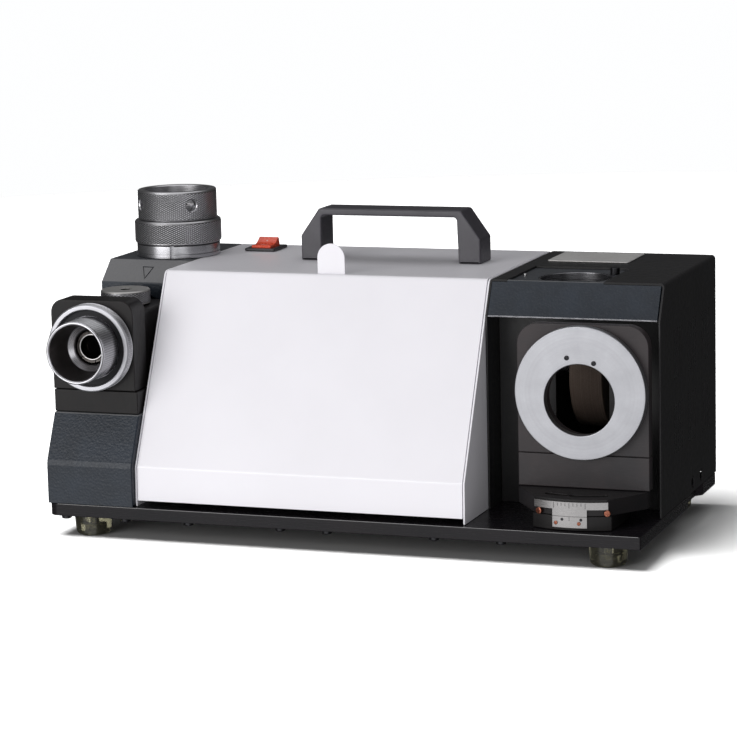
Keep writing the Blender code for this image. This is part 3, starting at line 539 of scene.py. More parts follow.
def face_turned_aluminium(name, axis, spot):
    base = (0.37, 0.372, 0.395)
    look = Look(name, base, 0.40, 1.0)
    coordinates, _, _ = look.around(axis, spot)
    rings = look.noise(1300, 4, 0.65, coordinates)
    cloud = look.noise(45, 4, 0.6)
    rubbed = look.noise(420, 4, 0.7, look.stretch((1, 1, 9)))
    tone = look.mottle(cloud, base, 0.86, 1.06)
    tone = look.blend(look.spread(rubbed, 0.45, 0.8, 0, 0.5), tone, shade(base, 0.80))
    look.colour(look.blend(look.spread(rings, 0.3, 0.75, 0, 0.5), tone, shade(base, 0.84)))
    look.rough(rings, 0.34, 0.50)
    look.bump(rings, 0.16, 0.00003)
    return look.material


def moulded_plastic(name, base=(0.021, 0.020, 0.024), roughness=0.46, grain=1800, depth=0.16):
    look = Look(name, base, roughness)
    look.colour(look.mottle(look.noise(25, 3), base, 0.9, 1.15))
    look.rough(look.noise(400, 3), roughness - 0.05, roughness + 0.08)
    look.bump(look.cells(grain), depth, 0.00006)
    return look.material


def glossy_plastic(name, base):
    look = Look(name, base, 0.26, Coat_Weight=0.3, Coat_Roughness=0.12)
    look.colour(look.mottle(look.noise(60, 3), base, 0.92, 1.06))
    look.rough(look.noise(500, 2), 0.22, 0.32)
    look.bump(look.noise(1400, 2), 0.04, 0.00004)
    return look.material


def clear_rubber(name):
    base = (0.20, 0.19, 0.125)
    look = Look(name, base, 0.10, Transmission_Weight=0.93, IOR=1.42)
    look.colour(look.mottle(look.noise(40, 3), base, 0.88, 1.0))
    look.rough(look.noise(90, 3), 0.06, 0.16)
    look.bump(look.noise(120, 2), 0.04, 0.0001)
    return look.material


def abrasive(name, axis, spot):
    base = (0.088, 0.062, 0.048)
    look = Look(name, base, 0.82)
    _, _, along = look.around(axis, spot)
    node = look.node("ShaderNodeCombineXYZ")
    look.feed(node.inputs[0], along)
    bands = look.noise(1100, 4, 0.75, node.outputs[0])
    grains = look.cells(2600)
    tone = look.mottle(bands, base, 0.55, 1.35, 0.35, 0.65)
    look.colour(look.blend(look.spread(grains, 0.0, 0.5), shade(base, 1.7), tone))
    look.rough(look.noise(900, 2), 0.7, 0.9)
    look.bump(grains, 0.6, 0.0002)
    return look.material


def label_plastic(name):
    """Satin printed sheet with nothing on it but a rubbed, slightly mottled ground."""
    base = (0.55, 0.54, 0.53)
    look = Look(name, base, 0.4, 0.15)
    rubbed = look.noise(260, 5, 0.7, look.stretch((1, 9, 1)))
    look.colour(look.mottle(rubbed, base, 0.82, 1.18, 0.35, 0.7))
    look.rough(look.noise(120, 4), 0.30, 0.5)
    look.bump(rubbed, 0.08, 0.00004)
    return look.material


def cast_metal(name):
    base = (0.40, 0.405, 0.41)
    look = Look(name, base, 0.55, 0.85)
    look.colour(look.mottle(look.noise(50, 5), base, 0.75, 1.12))
    look.rough(look.noise(260, 4), 0.45, 0.67)
    look.bump(look.noise(900, 4, 0.7), 0.35, 0.0002)
    return look.material


def laminations(name):
    base = (0.20, 0.20, 0.21)
    look = Look(name, base, 0.5, 0.85)
    leaves = look.noise(2200, 1, 0.4, look.stretch((1, 0, 0)))
    look.colour(look.mottle(leaves, base, 0.5, 1.2, 0.4, 0.6))
    look.rough(look.noise(300, 3), 0.42, 0.6)
    look.bump(leaves, 0.4, 0.00015)
    return look.material


def brushed_metal(name, base, stretch, roughness=0.3):
    look = Look(name, base, roughness, 1.0)
    marks = look.noise(420, 4, 0.7, look.stretch(stretch))
    look.colour(look.mottle(marks, base, 0.8, 1.08))
    look.rough(look.noise(150, 4, 0.6, look.stretch(stretch)), roughness - 0.06, roughness + 0.12)
    look.bump(marks, 0.12, 0.00003)
    return look.material


# Centre lines: an axis, and a point on it
HEAD = ("Y", (BRACKET_X, 0, BRACKET_Z))
SLEEVE = ("Z", (SLEEVE_X, SLEEVE_Y, 0))
CLAMP = ("Z", (CLAMP_X, CLAMP_Y, 0))
SHAFT = ("X", (0, SHAFT_Y, SHAFT_Z))
PORT = ("Z", (PORT_X, PORT_Y, 0))
CAM = ("Y", (PIVOT_X, 0, RING_Z))

HAMMER = hammer_paint("hammer_paint")
WHITE = white_paint("white_powder_coat")
BLACK_SHEET = powder_coat("black_powder_coat", (0.0135, 0.0130, 0.0140), 0.48, 0.20, 1300)
BLACK_PLATE = black_oxide("black_base_plate", (0.0085, 0.0080, 0.0100), (1, 14, 14), 0.24, 0.22)
OXIDE = black_oxide("black_oxide_steel", (0.031, 0.0285, 0.031), gloss=0.25)
OXIDE_SECTOR = black_oxide("black_oxide_sector", (0.0125, 0.0120, 0.0130), (1, 12, 12), 0.34, 0.2)
OXIDE_DARK = black_oxide("black_oxide_bracket", (0.0085, 0.0080, 0.0085), (10, 10, 1), 0.42, 0.22)
PLASTIC = moulded_plastic("black_moulding")
HANDLE_PLASTIC = moulded_plastic("handle_moulding", (0.048, 0.045, 0.054), 0.42, 1500, 0.14)
GREY_PLASTIC = moulded_plastic("grey_moulding", (0.22, 0.22, 0.225), 0.5)
RED = glossy_plastic("red_moulding", (0.74, 0.075, 0.030))
RUBBER = clear_rubber("clear_rubber")
SCREW_STEEL = brushed_metal("zinc_screw", (0.60, 0.60, 0.60), (1, 1, 1), 0.3)
BLACK_SCREW = brushed_metal("black_screw", (0.035, 0.035, 0.038), (1, 1, 1), 0.35)
COPPER_SCREW = brushed_metal("copper_screw", (0.30, 0.115, 0.075), (1, 1, 1), 0.24)
SCALE_METAL = brushed_metal("brushed_scale", (0.33, 0.32, 0.32), (1, 1, 10), 0.26)
LABEL_METAL = label_plastic("blank_label")
CAST = cast_metal("cast_aluminium")
LAMINATIONS = laminations("laminations")
# near-black, for the painted shade inside the clamp wheel's hex socket
SOCKET_SHADE = black_oxide("painted_socket_shade", (0.006, 0.006, 0.006), (1, 1, 1), 0.5, 0.1)
BRIGHT = brushed_metal("bright_steel", (0.58, 0.58, 0.60), (1, 8, 8), 0.26)


# ---------------------------------------------------------------- finishing a piece

def dress(obj, name, body, looks, nodes=(), smooth=33):
    """Turn a scratch shape into a finished piece.

    nodes are the CAD nodes it takes the place of. A second look goes on its knurled faces, which stay flat.
    """
    looks = looks if isinstance(looks, tuple) else (looks,)
    mesh = obj.data
    knurled = [len(looks) > 1 and face.material_index == 1 for face in mesh.polygons]
    mesh.transform(Matrix.Translation(ORIGIN) @ Matrix.Scale(MM, 4))
    obj.name = name
    mesh.name = name
    mesh.materials.clear()
    for look in looks:
        mesh.materials.append(look)
    mesh.polygons.foreach_set("material_index", [int(k) for k in knurled])
    mesh.polygons.foreach_set("use_smooth", [not k for k in knurled])
    mesh.set_sharp_from_angle(angle=radians(smooth))
    weighted = obj.modifiers.new("weighted", "WEIGHTED_NORMAL")
    weighted.keep_sharp = True
    bake(obj)
    obj.data.name = name
    if nodes:
        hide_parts(*nodes)
    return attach(obj, body)


def skin(obj, node, body, looks, smooth=33):
    """A finished piece that takes one CAD node's place and its name."""
    return dress(obj, node + "_skin", body, looks, (node,), smooth)


def coat(node, look):
    """Give a carried-over CAD node a detailed material."""
    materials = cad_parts[node].data.materials
    materials.clear()
    materials.append(look)


def screw_shape(axis, spot, head_r, low, high, drive, out):
    """A screw head that looks along its axis (out = 1) or against it (-1); high is its outer face."""
    profile = fillet([(0, high), (head_r, high), (head_r, low), (0, low)], [0, head_r * 0.28, 0, 0], 4, False)
    head = lathe(profile, axis, spot, 32)
    reach = sorted((high - out * abs(high - low) * 0.55, high + out))
    if drive == "hex":
        drill(head, axis, spot, head_r * 0.5, *reach, 6)
    elif drive == "cross":
        bar = (head_r * 0.62, head_r * 0.14)
        for halves in (bar[::-1], bar):
            halves = list(halves)
            spans = [reach if letter == axis else None for letter in "XYZ"]
            for i in range(3):
                if spans[i] is None:
                    half = halves.pop(0)
                    spans[i] = (spot[i] - half, spot[i] + half)
            cut(head, block(*spans))
    return head


# ---------------------------------------------------------------- base

def base():
    notch = [(LENGTH, 150), (LENGTH - 5, 156), (LENGTH - 5, 195), (LENGTH, 201)]
    outline = [(0, 0), (LENGTH, 0)] + notch + [(LENGTH, DEPTH), (0, DEPTH)]
    outline = fillet(outline, [9, 1.5, 2, 2, 2, 2, 2, 5], 8)
    skin(plate(outline, "Z", 0, DECK, 0.7), "base_plate", "frame", BLACK_PLATE)
    # painted highlight: a thin bright metal strip along the plate's top front edge stands in for the highlight
    # line there
    edge_highlight = block((9, LENGTH - 2), (-0.05, 0.25), (DECK - 0.25, DECK + 0.05), 0.05, 1)
    dress(edge_highlight, "plate_edge_highlight", "frame",
          brushed_metal("edge_highlight_metal", (0.30, 0.295, 0.30), (10, 1, 1), 0.3))
    heads = []
    for x in (11, 64, 120, 200, 240, 330, 385, 470):
        for y in (12, DEPTH - 12):
            if (x, y) != (470, 12):                  # the front right foot stands there
                heads.append(screw_shape("Z", (x, y, 0), 4.1, -0.1, -4.4, "hex", -1))
    dress(join(*heads), "plate_screws", "frame", BLACK_SCREW)


def feet():
    for node in ("foot_front_left", "foot_front_right", "foot_rear_left", "foot_rear_right"):
        xs, ys, (bottom, top) = span(node)
        axis = ("Z", (sum(xs) / 2, sum(ys) / 2, 0))
        r, well, hole, seat = (xs[1] - xs[0]) / 2, 7.4, 3.0, bottom + 9.6
        profile = [
            (r, top), (r - 0.5, top - 7), (r - 1.4, bottom), (well, bottom), (well, bottom + 9.5),
            (hole, bottom + 9.5), (hole, top),
        ]
        profile = fillet(profile, [0.5, 3, 5.5, 1, 1, 0, 0], 8)
        skin(lathe(profile, *axis, 64), node, "frame", RUBBER)
        washer = lathe(fillet(tube(2.4, 6.9, seat - 1.4, seat), 0.3, 2), *axis, 40)
        head = [(0, seat - 4.6), (4.2, seat - 4.6), (4.2, seat - 1.5), (0, seat - 1.5)]
        head = lathe(fillet(head, [0, 1.2, 0, 0], 4, False), *axis, 32)
        stem = lathe(tube(0, 2.2, seat - 1.5, top + 0.2), *axis, 24)
        dress(join(washer, head, stem), node + "_screw", "frame", SCREW_STEEL)


# ---------------------------------------------------------------- left grinding head

HEAD_FRONT, HEAD_SLOPE_Z, HEAD_BROW, SHELF_Z = 118.0, 176.6, 137.5, 83.0


def head_casting():
    foot = DECK + GAP
    outer = [
        (1, foot), (1, 42), (1.8, 46), (19.5, SHELF_Z), (HEAD_FRONT, SHELF_Z), (HEAD_FRONT, HEAD_SLOPE_Z),
        (HEAD_BROW, TOP), (REAR, TOP), (REAR, foot),
    ]
    outer = fillet(outer, [0, 4, 4, 2.0, 3.0, 2.0, 2.5, 2.2, 0], 4)
    w = 5.0                                          # wall
    inner = [
        (1 + w, foot - 1), (1 + w, 43), (19.5 + w, SHELF_Z - w), (HEAD_FRONT + w, SHELF_Z - w),
        (HEAD_FRONT + w, HEAD_SLOPE_Z - 2), (HEAD_BROW + 3, TOP - w), (REAR - w, TOP - w),
        (REAR - w, foot - 1),
    ]
    right = span("head_casting")[0][1]
    casting = plate(outer, "X", 0, right, 1.3, steps=3)
    cut(casting, plate(inner, "X", w, right - w))
    drill(casting, *SHAFT, 20, right - 10, right + 5, 48)
    drill(casting, *HEAD, 29, 110, 130, 64)
    drill(casting, *SLEEVE, 27.3, 170, 200, 64)
    run, rise = HEAD_BROW - HEAD_FRONT, TOP - HEAD_SLOPE_Z
    uphill = Vector((0, run, rise)).normalized()
    outward = Vector((0, -rise, run)).normalized()
    on_slope = Matrix((Vector((1, 0, 0)), uphill, outward)).transposed().to_4x4()
    on_slope = Matrix.Translation((0, HEAD_FRONT, HEAD_SLOPE_Z)) @ on_slope
    triangle = [(38.8, 4.6), (43.1, 17.2), (33.7, 17.4)]
    line, depth = 0.5, 0.9
    mark = plate(offset(triangle, line), "Z", -depth, 2, holes=[offset(triangle, -line)])
    cut(casting, move(mark, on_slope))
    skin(casting, "head_casting", "frame", HAMMER, 40)


def bracket():
    skin(block(*span("bracket_foot"), 0.9, 3), "bracket_foot", "frame", OXIDE_DARK)
    (x0, x1), (front, rear), (low, top) = span("bracket_block")
    face, boss_top = 45.0, 164.0
    outline = rectangle(x0, x1, low, top, [0.8, 0.8, 11, 11], 10)
    shape = plate(outline, "Y", front, face, 0.8, [circle(BRACKET_X, BRACKET_Z, 27.4, 96)])
    boss_outline = rectangle(x0 + 4, x1 - 3, low + 1, boss_top, [0, 0, 3, 3], 4)
    boss = plate(boss_outline, "Y", face - 0.5, rear, 0.6, [circle(BRACKET_X, BRACKET_Z, 22.9, 96)])
    drill(boss, *CLAMP, 5.3, 158, 170, 32)
    skin(join(shape, boss), "bracket_block", "frame", OXIDE_DARK, 40)


def clamp_wheel():
    low, high, radius, stud_r, stud_low = 165.0, 176.8, 20.6, 5.0, 162.2
    depth = 0.45
    groove = (radius - depth, low + 1.3)
    rim, shoulder = radius - 0.1, radius - 0.9
    profile = [
        (0, stud_low), (stud_r, stud_low), (stud_r, low), (shoulder, low), (rim, low + 0.8), groove,
        (radius - depth, high - 1.6), (rim, high - 1.5), (rim, high - 0.8), (shoulder, high), (0, high),
    ]
    profile = fillet(profile, [0, 0.3, 0.3, 0.3, 0.3, 0, 0, 0.2, 0.3, 0.3, 0], 2, False)
    wheel = lathe(profile, *CLAMP, knurl=(groove, 1.7, 1.6, depth))
    drill(wheel, *CLAMP, 4.6, high - 6, high + 1, 6)
    cut(wheel, lathe([(0, high + 0.2), (5.6, high + 0.2), (4.5, high - 0.9), (0, high - 0.9)], *CLAMP, 48))
    # painted shade: a near-black hex liner just inside the socket darkens its walls and floor
    bottom, lip = high - 5.9, high - 0.15
    socket_shade_liner = [(0, bottom), (4.5, bottom), (4.5, lip), (4.4, lip), (4.4, bottom + 0.1), (0, bottom + 0.1)]
    dress(lathe(socket_shade_liner, *CLAMP, 6), "clamp_socket_shade", "clamp", SOCKET_SHADE)
    looks = (turned_metal("clamp_wheel_face", *CLAMP, (0.50, 0.49, 0.48), 0.45, 1500, 0.25),
             knurled_metal("clamp_wheel_knurl", *CLAMP, radius, depth))
    skin(wheel, "clamp_wheel", "clamp", looks)


def left_chuck():
    front, seat, nose_r, mouth_r = -14.5, 20.7, 25.6, 23.1
    throat, throat_r, collet_r, tail, step = 13.0, 19.2, 14.9, 100.0, 44.1
    depth = 0.32
    grooves = (nose_r - depth, 13.5)
    body = [
        (22.5, tail), (22.5, step), (27, step), (27, seat), (nose_r - depth, seat), grooves,
        (nose_r - depth, front + 2.5), (nose_r, front + 2.2), (nose_r, front + 0.9), (nose_r - 0.9, front),
        (mouth_r + 0.9, front), (mouth_r, front + 0.7), (throat_r, throat), (collet_r + 0.5, throat + 3),
        (collet_r, throat + 4), (collet_r, tail),
    ]
    body = fillet(body, [0.5, 0.3, 0.3, 0.2, 0.1, 0, 0, 0.1, 0.5, 0.6, 0.6, 0.3, 0.5, 0.4, 0.3, 0.5], 3)
    steel = turned_metal("left_chuck_steel", *HEAD, (0.62, 0.615, 0.645), 0.26)
    fine = knurled_metal("left_chuck_knurl", *HEAD, nose_r, depth, (0.78, 0.78, 0.81))
    dress(lathe(body, *HEAD, knurl=(grooves, 1.9, 1.7, depth)), "left_chuck_skin", "left_chuck",
          (steel, fine), ("left_chuck_body",))
    # painted shade: a thin dark liner just inside the mouth's cone darkens it from the mouth to the throat
    dark = turned_metal("left_chuck_bore_shade", *HEAD, (0.10, 0.09, 0.088), 0.36)
    liner = [
        (mouth_r - 0.15, front + 1.6), (mouth_r - 0.05, front + 1.6), (throat_r + 0.15, throat - 0.6),
        (throat_r + 0.02, throat - 0.6),
    ]
    dress(lathe(liner, *HEAD, 128), "left_chuck_bore_shade", "left_chuck", dark)

    ring_r, rim_r, ring_front, ring_back, depth = 35.9, 31.4, 10.5, 20.2, 0.38
    grooves = (ring_r - depth, ring_back - 1.5)
    ring = [
        (ring_r - 0.7, ring_back), (ring_r, ring_back - 0.7), (ring_r, ring_back - 1.4), grooves,
        (ring_r - depth, ring_front + 1.9), (ring_r, ring_front + 1.8), (ring_r, ring_front + 1.0),
        (ring_r - 1.0, ring_front), (rim_r + 0.6, ring_front), (rim_r, ring_front + 0.6),
        (rim_r, ring_front + 4.5), (nose_r + 0.35, ring_front + 4.5), (nose_r + 0.35, ring_back),
    ]
    ring = fillet(ring, [0.3, 0.3, 0.1, 0, 0, 0.1, 0.3, 0.4, 0.4, 0.4, 0.4, 0.3, 0.3], 2)
    looks = (turned_metal("left_ring_steel", *HEAD, (0.50, 0.50, 0.53), 0.42, 1800, 0.12),
             knurled_metal("left_ring_knurl", *HEAD, ring_r, depth))
    dress(lathe(ring, *HEAD, knurl=(grooves, 1.6, 1.5, depth)), "left_ring_skin", "left_ring",
          looks, ("left_chuck_ring",))
    # painted shade: a thin near-black ring lies on the recessed face between the ring's rim and the nose
    groove = lathe(tube(nose_r + 0.5, rim_r - 0.1, ring_front + 4.3, ring_front + 4.4), *HEAD, 96)
    dress(groove, "left_ring_groove_shade", "left_ring",
          turned_metal("left_ring_groove_shade", *HEAD, (0.03, 0.03, 0.032), 0.5))

    bore, face, back = 8.0, 17.5, 70.0
    collet = [
        (collet_r - 0.5, back), (collet_r - 0.5, face + 2.4), (collet_r - 2.0, face + 0.6),
        (12.4, face + 0.6), (12.2, face + 1.5), (11.2, face + 1.5), (11.0, face), (10.2, face), (9.8, face + 1.0),
        (bore + 0.6, face + 9), (bore, face + 10), (bore, back),
    ]
    shape = lathe(fillet(collet, 0.15, 2), *HEAD, 96)
    slits = 6
    for i in range(slits):
        slit = block((9.9, 17), (face - 1, face + 26), (-0.55, 0.55))
        turn = Matrix.Rotation(radians(18 + 360 / slits * i), 4, "Y")
        cut(shape, move(slit, Matrix.Translation((BRACKET_X, 0, BRACKET_Z)) @ turn))
    dress(shape, "left_collet_skin", "left_chuck",
          turned_metal("left_collet_steel", *HEAD, (0.115, 0.105, 0.10), 0.26), ("left_chuck_collet",))
    lip = lathe(fillet(tube(9.9, 10.8, face - 0.25, face + 0.4), 0.15, 2), *HEAD, 96)
    dress(lip, "left_collet_lip", "left_chuck",
          turned_metal("left_collet_lip", *HEAD, (0.55, 0.54, 0.54), 0.3))
    stop = [(0, face + 34), (bore - 0.1, face + 34), (bore - 0.1, face + 34.4), (0, face + 34.4)]
    dress(lathe(stop, *HEAD, 48), "left_stop_face", "left_chuck",
          turned_metal("left_stop_face", *HEAD, (0.035, 0.035, 0.04), 0.5))


SLEEVE_R, SLEEVE_BORE_R, SLEEVE_NECK_R = 35.4, 24.5, 27.0
SLEEVE_FLANGE, SLEEVE_TOP, SLEEVE_LOW = 197.0, 204.4, 176.0
LOWER_RING_TOP, CHUCK_TOP = 224.9, 250.3
SLOT_ANGLE = -76.0


def setting_sleeve():
    floor = TOP + GAP
    profile = [
        (SLEEVE_R, SLEEVE_TOP), (SLEEVE_R, SLEEVE_FLANGE + 0.55), (SLEEVE_R - 0.7, SLEEVE_FLANGE + 0.45),
        (SLEEVE_R - 0.7, SLEEVE_FLANGE + 0.05), (SLEEVE_R, SLEEVE_FLANGE - 0.05), (SLEEVE_R, floor),
        (SLEEVE_NECK_R, floor), (SLEEVE_NECK_R, SLEEVE_LOW), (SLEEVE_BORE_R, SLEEVE_LOW),
        (SLEEVE_BORE_R, SLEEVE_TOP),
    ]
    profile = fillet(profile, [0.5, 0.15, 0.1, 0.1, 0.15, 0.5, 0.3, 0.3, 0.3, 0.3], 2)
    sleeve = lathe(profile, *SLEEVE, 144)
    slot = block((SLEEVE_R - 4, SLEEVE_R + 4), (-1.7, 1.7), (floor - 1, SLEEVE_TOP + 1))
    turn = Matrix.Translation((SLEEVE_X, SLEEVE_Y, 0)) @ Matrix.Rotation(radians(SLOT_ANGLE), 4, "Z")
    cut(sleeve, move(slot, turn))
    skin(sleeve, "setting_sleeve", "frame",
          turned_metal("sleeve_steel", *SLEEVE, (0.44, 0.44, 0.46), 0.26, 2200, 0.0))


def top_chuck():
    body_r, tail_r, low, high, cone_r = 26.6, SLEEVE_BORE_R - GAP, 172.0, 238.0, 19.9
    body = [
        (body_r, high), (body_r, SLEEVE_TOP + 0.2), (tail_r, SLEEVE_TOP), (tail_r, low), (cone_r, low),
        (cone_r, high - 4), (cone_r + 2.5, high),
    ]
    polished = turned_metal("top_chuck_steel", *SLEEVE, (0.42, 0.42, 0.44), 0.3, 2400, 0.06)
    dress(lathe(fillet(body, 0.4, 2), *SLEEVE, 96), "top_chuck_core", "top_chuck", polished,
          ("top_chuck_body",))
    inner, lower_r, bottom, depth = body_r + 0.3, 37.0, SLEEVE_TOP + 0.4, 0.5
    grooves = (lower_r - depth, bottom + 1.7)
    lower = [
        (inner, LOWER_RING_TOP), (inner, bottom), (lower_r - 2.0, bottom), (lower_r - 0.4, bottom + 1.3),
        grooves, (lower_r - depth, LOWER_RING_TOP - 1.5), (lower_r - 0.2, LOWER_RING_TOP - 1.2),
        (lower_r - 1.6, LOWER_RING_TOP),
    ]
    lower = fillet(lower, [0.4, 0.3, 0.5, 0.4, 0, 0, 0.3, 0.4], 3)
    looks = (turned_metal("top_lower_steel", *SLEEVE, (0.50, 0.495, 0.51), 0.3),
             knurled_metal("top_lower_knurl", *SLEEVE, lower_r, depth))
    dress(lathe(lower, *SLEEVE, knurl=(grooves, 1.85, 1.65, depth)), "top_lower_skin", "top_chuck",
          looks, ("top_chuck_lower_ring",))

    upper_r, seat, depth = 33.75, LOWER_RING_TOP + 0.5, 0.48
    grooves = (upper_r - depth, seat + 1.0)
    rim = upper_r - 0.15
    upper = [
        (inner + 1.0, CHUCK_TOP), (inner, CHUCK_TOP - 0.9), (inner, seat), (upper_r - 0.8, seat), grooves,
        (upper_r - depth, CHUCK_TOP - 1.7), (rim, CHUCK_TOP - 1.5), (rim, CHUCK_TOP - 0.9),
        (upper_r - 1.1, CHUCK_TOP),
    ]
    upper = fillet(upper, [0.4, 0.4, 0.3, 0.3, 0, 0, 0.1, 0.3, 0.4], 3)
    ring = lathe(upper, *SLEEVE, knurl=(grooves, 1.75, 1.6, depth))
    hole_z, hole_r, hole_count, first = 238.6, 4.6, 4, -45.0
    for i in range(hole_count):
        turn = Matrix.Rotation(radians(first + 360 / hole_count * i), 4, "Z")
        drilling = [(0, 25), (hole_r, 25), (hole_r, upper_r - 1.6), (hole_r + 1.5, upper_r + 0.4),
                    (hole_r + 1.5, 40), (0, 40)]
        place = Matrix.Translation((SLEEVE_X, SLEEVE_Y, hole_z))
        cut(ring, move(lathe(drilling, "X", (0, 0, 0), 40), place @ turn))
    looks = (turned_metal("top_upper_steel", *SLEEVE, (0.50, 0.495, 0.515), 0.30, 2400, 0.06),
             knurled_metal("top_upper_knurl", *SLEEVE, upper_r, depth))
    dress(ring, "top_upper_skin", "top_ring", looks, ("top_chuck_upper_ring",))

    bore, collet_low = 7.5, 178.0
    collet = [
        (cone_r - 3, high - 2), (cone_r - 0.4, high - 7), (cone_r - 0.4, collet_low), (bore, collet_low),
        (bore, high - 4), (bore + 2, high - 2),
    ]
    shape = lathe(fillet(collet, 0.3, 2), *SLEEVE, 96)
    for i in range(6):
        slit = block((bore - 2, cone_r + 2), (-0.6, 0.6), (high - 30, high + 1))
        turn = Matrix.Translation((SLEEVE_X, SLEEVE_Y, 0)) @ Matrix.Rotation(radians(15 + 60 * i), 4, "Z")
        cut(shape, move(slit, turn))
    dress(shape, "top_collet_skin", "top_chuck",
          turned_metal("top_collet_steel", *SLEEVE, (0.22, 0.215, 0.215), 0.32), ("top_chuck_collet",))


# ---------------------------------------------------------------- hood

def hood_sides():
    foot, top = DECK + GAP, TOP - 0.2
    outline = [(CREASE_Y - 0.8, foot), (CREASE_Y, CREASE_Z), (BROW_Y, top), (REAR, top), (REAR, foot)]
    outline = fillet(outline, [0.8, 3, 7, 2, 0.5], 6)
    for side, low in (("left", HOOD_LEFT), ("right", HOOD_RIGHT - SHEET)):
        shape = plate(outline, "X", low, low + SHEET, 0.35, [circle(SHAFT_Y, SHAFT_Z, 20, 48)])
        dress(shape, f"hood_{side}_skin", "frame", WHITE, (f"hood_{side}_plate",))


def front_door():
    low, high = HOOD_LEFT + SHEET + 0.5, HOOD_RIGHT - SHEET - 0.5
    path = [(CREASE_Y - 0.8, 15.2), (CREASE_Y, CREASE_Z), (BROW_Y, TOP), (BROW_Y + 5.5, TOP)]
    path = fillet(path, [0, 5, 7, 0], 8, False)
    door = plate(thicken(path, SHEET), "X", low, high, 0.3)
    tab_x, tab_r, tab_top = 221.7, 11.8, 218.2
    tab = arc((tab_x, tab_top - tab_r), tab_r, 0, 180, 32)
    tab += [(tab_x - tab_r, TOP - 0.8), (tab_x + tab_r, TOP - 0.8)]
    tab_plate = plate(tab, "Y", BROW_Y + 4.0, BROW_Y + 5.5, 0.35)
    pin = ("X", (0, 9.8, 20.0))
    knuckles = [lathe(tube(1.7, 3.0, x, x + 20), *pin, 32) for x in (low + 14, high - 34)]
    skin(join(door, tab_plate, *knuckles), "front_door", "door", WHITE)


def hood_shell():
    low, high = HOOD_LEFT + SHEET + GAP, HOOD_RIGHT - SHEET - GAP
    path = fillet([(BROW_Y + 6.2, TOP), (REAR, TOP), (REAR, DECK + GAP)], [0, 3, 0], 6, False)
    shell = plate(thicken(path, SHEET), "X", low, high, 0.3)
    opening = rectangle(SWITCH_X - 12.6, SWITCH_X + 12.6, SWITCH_Y - 14, SWITCH_Y + 14)
    cut(shell, plate(opening, "Z", TOP - 4, TOP + 2))
    drill(shell, "Y", (GLAND_X, 0, GLAND_Z), 8.4, REAR - 5, REAR + 2, 48)
    drill(shell, "Y", (FUSE_X, 0, GLAND_Z), 6.2, REAR - 5, REAR + 2, 48)
    for i in range(9):
        x = 130 + 8 * i
        cut(shell, plate(rectangle(x, x + 3, 100, 145, 1.45, 4), "Y", REAR - 5, REAR + 2))
    skin(shell, "hood_shell", "frame", WHITE)
    heads = []
    for x in (low + 12, (low + high) / 2, high - 12):
        for z in (TOP - 14, DECK + 12):
            heads.append(screw_shape("Y", (x, 0, z), 3.6, REAR + 0.05, REAR + 2.0, "cross", 1))
    dress(join(*heads), "hood_screws", "frame", SCREW_STEEL)


def handle():
    (x0, x1), ys, (foot, top) = span("handle")
    shoulder, slope, leg, bar = 214.4, 16.5, 18.3, 5.8
    under = top - bar
    outline = [
        (x1, foot), (x1, shoulder), (x1 - slope, top), (x0 + slope, top), (x0, shoulder), (x0, foot),
        (x0 + leg, foot), (x0 + leg, under), (x1 - leg - 2, under), (x1 - leg - 0.8, foot),
    ]
    outline = fillet(outline, [0.6, 3.5, 3, 3, 3.5, 0.6, 0.6, 3, 3, 0.6], 5)
    shape = plate(outline, "Y", ys[0], ys[1], 1.5, steps=3)
    skin(shape, "handle", "frame", HANDLE_PLASTIC, 38)


def rocker_switch():
    x, y = SWITCH_X, SWITCH_Y
    outline = rectangle(x - 14, x + 14, y - 15.5, y + 15.5, 1.8, 4)
    well = [rectangle(x - 9.4, x + 9.4, y - 12.3, y + 12.3, 0.6)]
    bezel = plate(outline, "Z", TOP + GAP, TOP + 2.8, 0.8, well)
    walls = plate(rectangle(x - 12, x + 12, y - 13.4, y + 13.4, 0.6), "Z", 168, TOP + 1, 0.0, well)
    floor = block((x - 10, x + 10), (y - 12.8, y + 12.8), (168, 180))
    skin(join(bezel, walls, floor), "switch_bezel", "frame", PLASTIC)
    half, lobe, dip, tilt = 10.5, 7.0, 4.2, radians(16)
    neutral = [
        (half, -2), (half, lobe - 1), (half - 1, lobe), (0, dip), (1 - half, lobe), (-half, lobe - 1),
        (-half, -2), (0, -8),
    ]
    neutral = fillet(neutral, [0, 0.6, 0.6, 30, 0.6, 0.6, 0, 0], 5)
    tilted = [(u * cos(tilt) - v * sin(tilt), u * sin(tilt) + v * cos(tilt)) for u, v in neutral]
    rocker = plate([(y + u, SWITCH_Z + v) for u, v in tilted], "X", x - 8.8, x + 8.8, 0.5)
    dress(rocker, "rocker_skin", "rocker", RED, ("switch_rocker",))
    turn = Matrix.Translation((x, y, SWITCH_Z)) @ Matrix.Rotation(tilt, 4, "X")
    lean = atan2(lobe - dip, half)
    stroke = move(block((-0.45, 0.45), (-1.9, 1.9), (-0.1, 0.12), 0.03, 1),
                  turn @ Matrix.Translation((0, 5.6, 5.72)) @ Matrix.Rotation(lean, 4, "X"))
    loop = move(lathe(tube(1.3, 2.0, -0.1, 0.12), "Z", (0, 0, 0), 32),
                turn @ Matrix.Translation((0, -5.6, 5.72)) @ Matrix.Rotation(-lean, 4, "X"))
    paint = powder_coat("mark_paint", (0.7, 0.6, 0.56), 0.5)
    dress(join(stroke, loop), "rocker_marks", "rocker", paint)


# ---------------------------------------------------------------- right housing

VENT_ROWS, VENT_HEIGHT = (53.0, 112.0), 41.5
VENT_GROUPS, VENT_PITCH, VENT_WIDTH, VENT_SLOTS = (107.5, 153.0, 199.5), 6.0, 2.2, 5
CUTOUT_X, CUTOUT_REAR = (372.0, 451.2), 158.0
LEAN = (BROW_Y - BAY_FRONT) / (TOP - BEAM_LOW)       # how far the beam leans back for each millimetre up


